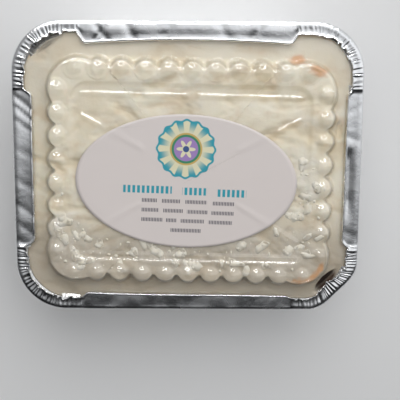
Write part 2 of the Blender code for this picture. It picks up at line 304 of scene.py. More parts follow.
def make_piece(
    name: str,
    bm: bmesh.types.BMesh,
    material: bpy.types.Material,
    thickness: float = 0.0,
    offset: float = 0.0,
    recalculate: bool = True,
) -> bpy.types.Object:
    """Turns a bmesh into a smooth piece of the object.

    Args:
        name: the piece's name.
        bm: its mesh, which is freed.
        material: its finish.
        thickness: of the wall that an open surface is given, or 0 for none.
        offset: -1 to grow the wall inwards, 0 to both sides.
        recalculate: True to point its faces outwards.

    Returns:
        The new object, at the origin and in the scene.
    """
    if recalculate:
        bmesh.ops.recalc_face_normals(bm, faces=bm.faces)
    for face in bm.faces:
        face.smooth = True
    mesh = bpy.data.meshes.new(name)
    bm.to_mesh(mesh)
    bm.free()
    mesh.materials.append(material)
    piece = bpy.data.objects.new(name, mesh)
    bpy.context.scene.collection.objects.link(piece)
    if thickness:
        wall = piece.modifiers.new("wall", "SOLIDIFY")
        wall.thickness, wall.offset = thickness, offset
    return piece


class Socket:
    """An output of a shader node whose arithmetic adds Math nodes."""

    def __init__(self, tree: bpy.types.NodeTree, output: bpy.types.NodeSocket) -> None:
        """Wraps an output of a node of this tree."""
        self.tree = tree
        self.output = output

    def math(self, operation: str, *others: Socket | float) -> Socket:
        """Adds a Math node.

        Args:
            operation: the node's operation.
            others: its inputs after this one, in order.

        Returns:
            The node's output.
        """
        node = self.tree.nodes.new("ShaderNodeMath")
        node.operation = operation
        for slot, value in zip(node.inputs, (self, *others)):
            plug(self.tree, slot, value)
        return Socket(self.tree, node.outputs[0])

    def __add__(self, other: Socket | float) -> Socket:
        """Adds."""
        return self.math("ADD", other)

    __radd__ = __add__

    def __sub__(self, other: Socket | float) -> Socket:
        """Subtracts."""
        return self.math("SUBTRACT", other)

    def __rsub__(self, other: float) -> Socket:
        """Subtracts this from a value."""
        return self.math("MULTIPLY_ADD", -1.0, other)

    def __mul__(self, other: Socket | float) -> Socket:
        """Multiplies."""
        return self.math("MULTIPLY", other)

    __rmul__ = __mul__

    def __pow__(self, other: float) -> Socket:
        """Raises to a power."""
        return self.math("POWER", other)

    def __abs__(self) -> Socket:
        """Drops the sign."""
        return self.math("ABSOLUTE")


def plug(tree: bpy.types.NodeTree, slot: bpy.types.NodeSocket, value: object) -> None:
    """Links a socket to an input, or sets the input's own value.

    Args:
        tree: the node tree.
        slot: the input.
        value: a Socket, a number, or a colour or vector as a tuple.
    """
    if isinstance(value, Socket):
        tree.links.new(value.output, slot)
    else:
        slot.default_value = (*value, 1.0) if slot.type == "RGBA" else value


class Shading:
    """The node tree of a material or a world, built through one method."""

    def __init__(self, owner: bpy.types.Material | bpy.types.World) -> None:
        """Starts the owner's tree afresh."""
        owner.use_nodes = True
        self.owner = owner
        self.tree = owner.node_tree
        self.tree.nodes.clear()

    def add(self, kind: str, sockets: dict, output: int | str = 0, **settings: object) -> Socket:
        """Adds a node.

        Args:
            kind: the node's type, without its ShaderNode prefix.
            sockets: the values or links of its inputs, by name or number.
            output: which output is wanted, by name or number.
            settings: its properties.

        Returns:
            That output.
        """
        node = self.tree.nodes.new("ShaderNode" + kind)
        for key, value in settings.items():
            setattr(node, key, value)
        for key, value in sockets.items():
            plug(self.tree, node.inputs[key], value)
        return Socket(self.tree, node.outputs[output])

    @cached_property
    def place(self) -> Socket:
        """Object coordinates."""
        return self.add("TexCoord", {}, "Object")

    def split(self, vector: Socket) -> list[Socket]:
        """Returns a vector's three parts."""
        node = self.add("SeparateXYZ", {0: vector}).output.node
        return [Socket(self.tree, output) for output in node.outputs]

    def stretched(self, scale: Triple, turn: float = 0.0) -> Socket:
        """Returns Object coordinates scaled by axis and turned about Z, in radians."""
        return self.add("Mapping", {"Vector": self.place, "Scale": scale, "Rotation": (0.0, 0.0, turn)})

    def noise(self, scale: float, detail: float = 2.0, vector: Socket | None = None, rough: float = 0.5) -> Socket:
        """Returns smooth noise.

        Args:
            scale: waves per metre.
            detail: how many finer waves lie on it.
            vector: where it is read, Object coordinates if left out.
            rough: how strong the finer waves are.

        Returns:
            The noise, from 0 to 1.
        """
        sockets = {"Vector": vector or self.place, "Scale": scale, "Detail": detail, "Roughness": rough}
        return self.add("TexNoise", sockets)

    def ramp(self, value: Socket, low: float, high: float, start: float = 0.0, end: float = 1.0) -> Socket:
        """Returns a smooth rise of a value between two limits.

        Args:
            value: what is read.
            low: where the rise starts.
            high: where it ends.
            start: the result below low.
            end: the result above high.

        Returns:
            The result.
        """
        sockets = {"Value": value, "From Min": low, "From Max": high, "To Min": start, "To Max": end}
        return self.add("MapRange", sockets, interpolation_type="SMOOTHSTEP")

    def within(self, value: Socket, low: float, high: float) -> Socket:
        """Returns 1 where a value is below low, falling to 0 at high."""
        return self.ramp(value, low, high, 1.0, 0.0)

    def blend(self, share: Socket, a: Socket | Colour, b: Socket | Colour) -> Socket:
        """Returns colour a turning into b by a share."""
        return self.add("Mix", {0: share, 6: a, 7: b}, 2, data_type="RGBA")

    def field(self, name: str) -> Socket:
        """Returns a number that the mesh holds at each vertex."""
        return self.add("Attribute", {}, "Fac", attribute_name=name)

    def bump(self, height: Socket, distance: float, strength: float = 1.0) -> Socket:
        """Returns a normal raised by a height of 0 to 1 times a distance."""
        return self.add("Bump", {"Height": height, "Distance": distance, "Strength": strength})

    def finish(self, shader: Socket, output: str = "ShaderNodeOutputMaterial") -> bpy.types.ID:
        """Sends a shader to the owner's output and returns the owner."""
        self.tree.links.new(shader.output, self.tree.nodes.new(output).inputs["Surface"])
        return self.owner


class Finish:
    """A finish whose material has one shader."""

    name: str

    def material(self) -> bpy.types.Material:
        """Returns the finish's material."""
        shading = Shading(bpy.data.materials.new(self.name))
        return shading.finish(self.shader(shading))

    def shader(self, shading: Shading) -> Socket:
        """Returns the shader, which each finish makes its own way."""
        raise NotImplementedError


@dataclass(frozen=True)
class FoilFinish(Finish):
    """Bright rolled aluminium foil with fine wrinkles."""

    name: str = "bright_foil"
    bright: Colour = (0.93, 0.935, 0.945)
    dull: Colour = (0.80, 0.81, 0.83)
    roughness: Pair = (0.18, 0.32)
    wrinkle: float = 0.10 * MM

    def shader(self, shading: Shading) -> Socket:
        """Returns the foil's shader."""
        wrinkles = shading.noise(330.0, 3.0)
        rolling = shading.noise(500.0, 2.0, shading.stretched((1.0, 0.05, 1.0)))
        patches = shading.noise(90.0)
        sockets = {
            "Base Color": shading.blend(patches, self.dull, self.bright),
            "Metallic": 1.0,
            "Roughness": shading.ramp(patches, 0.3, 0.7, *self.roughness),
            "Normal": shading.bump(wrinkles * 0.8 + rolling * 0.2, self.wrinkle),
        }
        return shading.add("BsdfPrincipled", sockets)


@dataclass(frozen=True)
class FilmFinish(Finish):
    """Clear formed plastic film."""

    name: str = "clear_film"
    tint: Colour = (0.997, 0.997, 0.992)
    edge: Colour = (0.87, 0.85, 0.81)
    roughness: float = 0.12
    facing_gloss: float = 0.055
    edge_gloss: float = 0.38
    haze: float = 0.012

    def shader(self, shading: Shading) -> Socket:
        """Returns the film's shader."""
        grazing = shading.add("LayerWeight", {"Blend": 0.5}, "Facing")
        clear = shading.add("BsdfTransparent", {"Color": self.tint})
        long_way = shading.add("BsdfTransparent", {"Color": self.edge})
        seen = shading.add("MixShader", {0: grazing**4.0, 1: clear, 2: long_way})
        gloss = shading.add("BsdfGlossy", {"Color": (1.0, 1.0, 1.0), "Roughness": self.roughness})
        scuffs = shading.ramp(shading.noise(900.0, 2.0, shading.stretched((1.0, 0.12, 1.0), 0.6)), 0.62, 0.8)
        share = self.facing_gloss + self.edge_gloss * grazing**3.0 + self.haze * scuffs
        return shading.add("MixShader", {0: share, 1: seen, 2: gloss})


@dataclass(frozen=True)
class Bar:
    """A plain bar of print on the label, in millimetres from the label's centre."""

    x: float
    y: float
    length: float
    height: float = 1.5


@dataclass(frozen=True)
class PaperFinish(Finish):
    """Smooth white label paper with a generic medallion and plain bars of print, in millimetres.

    Attributes:
        centre: the label's centre, in metres.
        turn: how far the label is turned, in radians.
    """

    centre: Pair
    turn: float
    name: str = "label_paper"
    paper: Colour = (0.745, 0.68, 0.655)
    teal: Colour = (0.035, 0.34, 0.43)
    ink: Colour = (0.10, 0.095, 0.12)
    cream: Colour = (0.78, 0.74, 0.52)
    gold: Colour = (0.60, 0.42, 0.13)
    green: Colour = (0.05, 0.26, 0.14)
    violet: Colour = (0.36, 0.24, 0.52)
    navy: Colour = (0.05, 0.10, 0.26)
    medallion: Pair = (-0.5, 13.0)
    medallion_radius: float = 11.6
    soft: float = 0.2
    title_dash: float = 1.9
    line_dash: float = 0.62
    title: tuple[Bar, ...] = (Bar(-15.4, -3.6, 19.5, 3.0), Bar(3.3, -3.9, 9.5, 3.0), Bar(18.2, -4.2, 12.0, 3.0))
    lines: tuple[Bar, ...] = (
        Bar(-14.6, -8.0, 6.2), Bar(-5.9, -8.1, 7.4), Bar(4.2, -8.2, 8.6), Bar(15.2, -8.5, 8.8),
        Bar(-14.2, -11.9, 7.0), Bar(-4.9, -12.0, 8.0), Bar(4.8, -12.2, 8.2), Bar(15.0, -12.4, 9.0),
        Bar(-13.4, -15.8, 8.6), Bar(-5.6, -15.9, 4.2), Bar(2.9, -16.0, 9.4), Bar(14.2, -16.2, 9.6),
        Bar(0.4, -19.9, 12.2),
    )

    def dashed(self, shading: Shading, x: Socket, y: Socket, bars: Iterable[Bar], pitch: float) -> Socket:
        """Returns 1 on the upright dashes that fill some bars, and 0 elsewhere.

        Args:
            shading: the material.
            x: across the label.
            y: up the label.
            bars: the bars.
            pitch: from one dash to the next.

        Returns:
            The dashes.
        """
        covered = []
        for bar in bars:
            ends = ((abs(x - bar.x), bar.length / 2), (abs(y - bar.y), bar.height / 2))
            beside, above = (shading.within(away, half - self.soft, half + self.soft) for away, half in ends)
            covered.append(beside * above)
        wave = (x * (2 * math.pi / pitch)).math("COSINE")
        return reduce(lambda a, b: a.math("MAXIMUM", b), covered) * shading.ramp(wave, -0.45, -0.1)

    def medal(self, shading: Shading, x: Socket, y: Socket, ground: Socket) -> Socket:
        """Returns the medallion's colours laid over the ground.

        Args:
            shading: the material.
            x: across the label.
            y: up the label.
            ground: the colour beneath.

        Returns:
            The colour.
        """
        across, up = x - self.medallion[0], y - self.medallion[1]
        away = (across * across + up * up) ** 0.5
        angle = up.math("ARCTAN2", across)
        scallops, rays, petals = ((angle * count).math("COSINE") for count in (16.0, 12.0, 6.0))
        rim = self.medallion_radius
        scalloped, starred = away - scallops * 0.35, away - petals * 1.1
        between = shading.blend(shading.ramp(away, rim * 0.5, rim * 0.95), self.cream, self.teal)
        rayed = shading.blend(shading.ramp(rays, -0.3, 0.3), between, self.cream)
        layers = (
            (scalloped, rim - 0.1, rim + 0.3, self.teal),
            (scalloped, rim - 0.9, rim - 0.6, rayed),
            (away, 6.3, 6.6, self.gold),
            (away, 5.6, 5.9, self.green),
            (away, 4.7, 5.0, self.violet),
            (starred, 2.5, 2.9, self.cream),
            (away, 1.1, 1.4, self.navy),
        )
        for distance, full, none, colour in layers:
            ground = shading.blend(shading.within(distance, full, none), ground, colour)
        return ground

    def shader(self, shading: Shading) -> Socket:
        """Returns the label's shader."""
        sockets = {"Vector": shading.place, "Location": (*self.centre, 0.0), "Rotation": (0.0, 0.0, self.turn)}
        local = shading.add("Mapping", {**sockets, "Scale": (MM, MM, MM)}, vector_type="TEXTURE")
        x, y, _ = shading.split(local)
        mottle = shading.noise(60.0, 3.0)
        paper = shading.blend(mottle, tuple(0.97 * part for part in self.paper), self.paper)
        colour = self.medal(shading, x, y, paper)
        colour = shading.blend(self.dashed(shading, x, y, self.title, self.title_dash), colour, self.teal)
        colour = shading.blend(self.dashed(shading, x, y, self.lines, self.line_dash), colour, self.ink)
        sockets = {
            "Base Color": colour,
            "Roughness": shading.ramp(mottle, 0.3, 0.7, 0.42, 0.5),
            "Specular IOR Level": 0.35,
            "Normal": shading.bump(shading.noise(4000.0), 0.01 * MM),
        }
        return shading.add("BsdfPrincipled", sockets)


@dataclass(frozen=True)
class FrostingFinish(Finish):
    """Moist cream-white frosting, with browned smears, painted shade and painted shadow where the mesh says so."""

    name: str = "frosting"
    light: Colour = (0.91, 0.845, 0.70)
    deep: Colour = (0.85, 0.76, 0.59)
    white: Colour = (0.93, 0.885, 0.79)
    stain: Colour = (0.70, 0.52, 0.32)
    # The colour of the painted shade in the frosting's folds
    painted_fold_shade: Colour = (0.74, 0.62, 0.42)
    toast: Colour = (0.72, 0.38, 0.17)
    # Near-black brown of the painted shadow in the two hollows
    crust_in_painted_shadow: Colour = (0.07, 0.035, 0.02)
    # dull is the colour of painted shade, darker towards the near side and on the far band
    dull: Colour = (0.52, 0.455, 0.375)
    relief: float = 0.22 * MM

    def shader(self, shading: Shading) -> Socket:
        """Returns the frosting's shader."""
        broad = shading.noise(70.0, 3.0)
        stains = shading.noise(120.0, 3.0, shading.stretched((0.6, 1.0, 1.0)), 0.6)
        ragged = shading.noise(330.0, 4.0, rough=0.65)
        layers = (
            (shading.field("fluff") * 0.8, self.white),
            # Painted shade in the frosting's folds, darker where they are deeper
            (shading.field("fold_shade") * 0.55, self.painted_fold_shade),
            (shading.ramp(stains, 0.5, 0.72) * shading.field("stain") * 0.5, self.stain),
            # Painted shade: darker towards the near side and on the far band outside the dome's wall
            (shading.field("dull") * 0.8, self.dull),
            (shading.ramp(shading.field("toast") + (ragged - 0.5) * 1.5, 0.22, 1.0) * 0.85, self.toast),
            # Painted shadow over the two hollows
            (shading.field("shadow"), self.crust_in_painted_shadow),
        )
        colour = shading.blend(shading.ramp(broad, 0.35, 0.7), self.light, self.deep)
        for share, tone in layers:
            colour = shading.blend(share, colour, tone)
        relief = shading.noise(600.0, 4.0, rough=0.65) * 0.7 + shading.noise(1400.0, 3.0, rough=0.6) * 0.3
        sockets = {
            "Base Color": colour,
            "Roughness": shading.ramp(shading.field("wet"), 0.0, 1.0, 0.62, 0.38),
            "Subsurface Weight": 0.18,
            "Subsurface Radius": (1.0, 0.75, 0.5),
            "Subsurface Scale": 1.6 * MM,
            "Normal": shading.bump(relief, self.relief, 0.8),
        }
        return shading.add("BsdfPrincipled", sockets)


@dataclass(frozen=True)
class CoconutFinish(Finish):
    """Moist white shreds of coconut."""

    name: str = "coconut_white"
    light: Colour = (0.93, 0.885, 0.79)
    deep: Colour = (0.90, 0.83, 0.69)

    def shader(self, shading: Shading) -> Socket:
        """Returns the coconut's shader."""
        grain = shading.noise(2600.0)
        sockets = {
            "Base Color": shading.blend(shading.ramp(shading.noise(450.0, 3.0), 0.4, 0.7), self.light, self.deep),
            "Roughness": shading.ramp(grain, 0.3, 0.7, 0.4, 0.6),
            "Normal": shading.bump(grain, 0.05 * MM),
        }
        return shading.add("BsdfPrincipled", sockets)


class Pleats:
    """The gathered foil of one corner: uneven radial folds over a run of rim."""

    def __init__(self, reach: float, rough: random.Random) -> None:
        """Draws the folds.

        Args:
            reach: how far they run to both sides of the corner's middle.
            rough: draws their widths and heights.
        """
        self.places: list[float] = []
        self.heights: list[float] = []
        self.edges: list[float] = []
        self.slants: list[float] = []
        slant, at = 0.0, -reach
        while at < reach:
            width = rough.uniform(0.95, 2.3) * MM
            slant = 0.75 * slant + rough.uniform(-0.16, 0.16)
            self.places += [at, at + rough.uniform(0.25, 0.75) * width]
            self.heights += [rough.uniform(-1.0, -0.1), rough.uniform(0.1, 1.0)]
            self.edges += [rough.uniform(-1.0, 1.0)] * 2
            self.slants += [slant] * 2
            at += width

    def height(self, at: float, inset: float) -> float:
        """Returns the folds' height from -1 to 1 at a place along the rim and inwards."""
        return self.read(self.heights, at + self.read(self.slants, at) * inset)

    def read(self, values: list[float], at: float) -> float:
        """Returns one of the folds' lists at a place along the rim, such as how far their inner edge strays."""
        return float(np.interp(at, self.places, values))


@dataclass(frozen=True)
class Crease:
    """A dent across a plain fold, in millimetres from the side's middle, anticlockwise."""

    place: float
    slant: float
    depth: float
    width: float

    def at(self, along: float, inset: float) -> float:
        """Returns the dent's depth at a place along the fold and inwards."""
        return self.depth * math.exp(-(((along - self.place - self.slant * inset) / self.width) ** 2))


@dataclass
class FoilTray:
    """The foil tray with its rim folded over the lid, as one sheet of foil.

    What is listed by side is in the order of Side.
    """

    corner: float = 20.5 * MM
    flange: float = 6.35 * MM
    flange_height: float = 42.0 * MM
    base: Round = Round(56.0 * MM, 44.5 * MM, 13.0 * MM)
    base_edge: float = 2.2 * MM
    wall_corner: float = 16.0 * MM
    foil: float = 0.16 * MM
    fine_step: float = 0.21 * MM
    coarse_step: float = 0.7 * MM
    pleat_run: float = 6.0 * MM
    pleat_step: float = 1.3 * MM
    reach_step: float = 3.4 * MM
    pleat_heights: Sides = (0.15 * MM, 0.15 * MM, 0.21 * MM, 0.25 * MM)
    pleat_ragged: float = 0.75 * MM
    flute: float = 0.182 * MM
    wall_wave: float = 0.12 * MM
    dent_depth: float = 2.5 * MM
    dent_fold: float = 0.55
    # The small tab beside the pleats: its width, and how far in and up it stands, in millimetres
    tab: Triple = (1.1, 0.5, 0.35)
    # How far the plain fold sinks inwards on each side
    sink: Sides = (0.45, 1.0, 0.5, -0.12)
    level_fold: float = 1.62
    # The rim's fold, as (inset, height over the flange) in millimetres
    plain_fold: tuple[Pair, ...] = (
        (0.9, 0.0), (0.35, 0.1), (0.06, 0.42), (0.0, 0.85), (0.18, 1.35), (0.7, 1.78), (1.5, 1.92), (2.4, 1.78),
        (3.5, 1.52), (4.7, 1.44), (5.8, 1.42), (6.5, 1.5), (7.0, 1.75), (7.38, 2.15), (7.42, 2.6), (7.12, 2.93),
        (6.72, 2.88), (6.5, 2.62),
    )
    pleated_fold: tuple[Pair, ...] = (
        (0.9, 0.0), (0.35, 0.1), (0.05, 0.45), (0.0, 0.95), (0.22, 1.5), (0.75, 1.95), (1.4, 2.1), (2.0, 2.08),
        (2.6, 2.02), (3.1, 2.0), (3.6, 2.0), (4.05, 2.03), (4.45, 2.12), (4.8, 2.28), (5.02, 2.48), (4.98, 2.66),
        (4.85, 2.6), (4.75, 2.42),
    )
    # The rings of the fold's valley, their heights on the +Y side, where it lies further in, and the lip's ring
    valley: range = range(5, 13)
    late_valley: tuple[float, ...] = (1.74, 1.86, 1.9, 1.88, 1.66, 1.58, 1.62, 1.8)
    lip: int = 13
    # The first rings that follow the fold's reach, and that stand up in the tab
    folded_from: int = 6
    tab_from: int = 12
    # How far the plain fold reaches in at the start, middle and end of each side
    fold_reach: tuple[Triple, ...] = ((7.3, 6.8, 6.3), (9.9, 7.6, 9.9), (8.3, 8.1, 8.3), (8.0, 6.7, 6.0))
    creases: tuple[tuple[Crease, ...], ...] = (
        (Crease(-29.0, 0.5, 0.08, 1.6), Crease(11.5, 0.3, 0.10, 1.3), Crease(26.0, -0.4, 0.06, 1.2)),
        (Crease(38.0, -0.9, 0.35, 1.5), Crease(31.5, 0.8, 0.42, 1.2), Crease(25.0, -0.5, 0.30, 1.8),
         Crease(6.0, 0.5, 0.22, 2.6), Crease(-12.0, -0.6, 0.2, 2.0), Crease(-30.0, 0.7, 0.3, 1.5)),
        (Crease(-30.0, 0.9, 0.36, 1.4), Crease(-25.8, 0.9, 0.30, 1.3), Crease(-20.5, 0.8, 0.14, 1.5),
         Crease(-8.0, 0.5, 0.10, 1.8), Crease(4.0, 0.7, 0.10, 1.6), Crease(14.0, 0.8, 0.14, 1.5),
         Crease(22.0, 0.8, 0.12, 1.4), Crease(28.5, 0.9, 0.18, 1.4)),
        (Crease(-33.0, 0.5, 0.15, 2.5), Crease(20.0, -0.5, 0.12, 3.0)),
    )
    # How wavy the plain fold is on each side, in millimetres
    waves: Sides = (0.05, 0.16, 0.14, 0.16)
    seed: int = 11
    rim: Round = field(init=False)
    pleats: list[Pleats] = field(init=False)

    def __post_init__(self) -> None:
        """Takes the rim's outline from the frame and draws the pleats."""
        low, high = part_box("foil_tray")
        self.rim = Round((high.x - low.x - self.foil) / 2, (high.y - low.y - self.foil) / 2, self.corner)
        rough = random.Random(self.seed)
        self.pleats = [Pleats(self.arc_length / 2 + 2 * self.pleat_run, rough) for _ in Side]

    @property
    def arc_length(self) -> float:
        """The length of one corner of the rim."""
        return self.rim.corner * math.pi / 2

    def side_length(self, quarter: int) -> float:
        """Returns the length of a straight side of the rim."""
        return 2 * self.rim.straight[1 - quarter % 2]

    def stations(self) -> list[Station]:
        """Returns stations that are dense on the pleats and sparse between them."""
        found = []
        run = self.pleat_run + self.pleat_step
        steps = round(self.arc_length / self.fine_step)
        for quarter in range(4):
            length = self.side_length(quarter)
            near = np.arange(0.0, run, self.fine_step)
            middle = np.linspace(run, length - run, round((length - 2 * run) / self.coarse_step), endpoint=False)
            places = [*near, *middle, *(length - near[::-1])[:-1]]
            found += [Station(quarter, float(place) / length, False) for place in places]
            found += [Station(quarter, step / steps, True) for step in range(steps)]
        return found

    def along(self, station: Station) -> tuple[int, float, float]:
        """Returns the nearest corner, the place from its middle and the distance past its arc.

        Args:
            station: the place round the rim.

        Returns:
            The corner's number, the place and the distance.
        """
        half_arc = self.arc_length / 2
        if station.arc:
            return station.quarter, (station.share * 2 - 1) * half_arc, 0.0
        length = self.side_length(station.quarter)
        if station.share < 0.5:
            past = station.share * length
            return (station.quarter - 1) % 4, half_arc + past, past
        past = (1 - station.share) * length
        return station.quarter, -half_arc - past, past

    def millimetres(self, station: Station) -> float:
        """Returns how far a station is along its side from the side's middle, in millimetres."""
        return (station.share - 0.5) * self.side_length(station.quarter) / MM

    def dent(self, station: Station) -> float:
        """Returns how far the rim is knocked in."""
        off = math.acos(max(min(station.out.dot(Vector((1, -1)).normalized()), 1.0), -1.0))
        return self.dent_depth * math.cos(2 * off) ** 2 if off < math.pi / 4 else 0.0

    def wall_point(self, station: Station, outline: Round, height: float) -> Vector:
        """Returns a point of the wall, fluted at its corners and slightly wavy between them.

        Args:
            station: the place round the wall.
            outline: the ring's outline.
            height: the ring's height.

        Returns:
            The point.
        """
        corner, at, past = self.along(station)
        gathered = 1 - smooth_step(2 * MM, 14 * MM, past)
        point = outline.at(station)
        wave = self.wall_wave * rough_field(Vector((point.x + point.y, height)), 16 * MM, 2.0)
        ripple = self.flute * gathered * self.pleats[corner].height(at, 0.0)
        return Vector((*(point + station.out * smooth_step(0.0, 8 * MM, height) * (wave + ripple)), height))

    def plain_reach(self, station: Station) -> float:
        """Returns how far in the plain fold reaches, in millimetres."""
        start, middle, end = self.fold_reach[station.quarter]
        return lerp(middle, end if station.share > 0.5 else start, (2 * station.share - 1) ** 2)

    def crease(self, station: Station, inset: float) -> float:
        """Returns how high the plain fold stands at a place, from its dents and waves.

        Args:
            station: the place round the rim.
            inset: how far in it is, in millimetres.

        Returns:
            The height.
        """
        if station.arc:
            return 0.0
        along = self.millimetres(station)
        dents = sum(crease.at(along, inset) for crease in self.creases[station.quarter])
        waves = noise.noise(Vector((along / 11.0, inset / 6.0, station.quarter * 5.0)))
        return (self.waves[station.quarter] * waves - dents) * MM

    def blotch(self, station: Station, inset: float) -> float:
        """Returns how far the +X side's fold is pressed in along its inner half.

        Args:
            station: the place round the rim.
            inset: how far in it is, in millimetres.

        Returns:
            The depth.
        """
        if station.arc or station.quarter != Side.PLUS_X:
            return 0.0
        along = self.millimetres(station)
        ragged = 0.7 * noise.noise(Vector((along / 9.0, 0.0, 3.0)))
        window = smooth_step(-23.0, -12.0, along) * (1 - smooth_step(4.0, 10.0, along))
        sunk = smooth_step(2.6 + ragged, 5.6 + ragged, inset)
        return 0.75 * MM * window * sunk * (1 - smooth_step(5.9, 7.0, inset))

    def fold_point(self, station: Station, number: int) -> Vector:
        """Returns a point of the rim's fold.

        Args:
            station: the place round the rim.
            number: the ring's place in the folds' lists.

        Returns:
            The point.
        """
        (flat, height), (wide, top) = self.plain_fold[number], self.pleated_fold[number]
        corner, at, past = self.along(station)
        pleats, dent = self.pleats[corner], self.dent(station)
        grip = smooth_step(2.0, 5.0, number)
        share, held = (
            1 - smooth_step(self.pleat_run, self.pleat_run + step, past) for step in (self.pleat_step, self.reach_step)
        )
        inset = flat
        if number in self.valley:
            height = lerp(self.level_fold, height, self.sink[station.quarter])
            if station.quarter == Side.PLUS_Y:
                height = self.late_valley[number - self.valley.start]
        if number >= self.folded_from and held < 1:
            inset *= self.plain_reach(station) / self.plain_fold[self.lip][0]
        width, tab_in, tab_up = self.tab
        beyond = (past - self.pleat_run - self.pleat_step) / (width * MM)
        tab = math.exp(-(beyond**2)) if number >= self.tab_from else 0.0
        depth = 0.35 + 0.65 * smooth_step(0.4, 3.2, wide)
        fold = pleats.height(at, wide * MM) * self.pleat_heights[corner] * depth * grip
        ragged = pleats.read(pleats.edges, at) * self.pleat_ragged * smooth_step(3.0, 5.0, wide) * share
        wide *= 1 + self.dent_fold * dent / (5 * MM)
        inset = lerp(inset + tab_in * tab, wide, held) * MM + ragged
        height = lerp(height + tab_up * tab, top, share) * MM + fold * share
        height += self.crease(station, flat) * grip * (1 - share) * smooth_step(0.0, 1.5, flat)
        point = self.rim.at(station) - (dent + inset) * station.out
        return Vector((*point, self.flange_height + height - self.blotch(station, flat)))

    @cached_property
    def opening(self) -> Round:
        """The outline of the wall's top."""
        return Round(self.rim.half_x - self.flange, self.rim.half_y - self.flange, self.wall_corner)

    def outline(self, height: float) -> Round:
        """Returns the wall's outline at a height.

        Args:
            height: the height over the tray's base.

        Returns:
            The outline.
        """
        foot = self.foil / 2 + self.base_edge
        share = (height - foot) / (self.flange_height - foot)
        sizes = ("half_x", "half_y", "corner")
        return Round(*(lerp(getattr(self.base, size), getattr(self.opening, size), share) for size in sizes))

    def build(self) -> bpy.types.Object:
        """Returns the finished tray."""
        floor = self.foil / 2
        edge = self.base.inset(self.base_edge)
        sheet = Sheet(self.stations(), lambda s: Vector((*edge.inset(9 * MM).at(s), floor + 0.25 * MM)), capped=True)
        sheet.grow(lambda s: Vector((*edge.inset(7.5 * MM).at(s), floor)))
        for degrees in (0, 35, 65, 90):
            angle = math.radians(degrees)
            height = floor + self.base_edge * (1 - math.cos(angle))
            sheet.grow(self.wall_point, edge.inset(-self.base_edge * math.sin(angle)), height)
        for share in (0.12, 0.3, 0.5, 0.7, 0.88, 0.97):
            height = lerp(floor + self.base_edge, self.flange_height, share)
            sheet.grow(self.wall_point, self.outline(height), height)
        sheet.grow(self.wall_point, self.opening.inset(-0.6 * MM), self.flange_height)
        for number in range(len(self.plain_fold)):
            sheet.grow(self.fold_point, number)
        return make_piece("foil_tray_sheet", sheet.bm, FoilFinish().material(), self.foil)


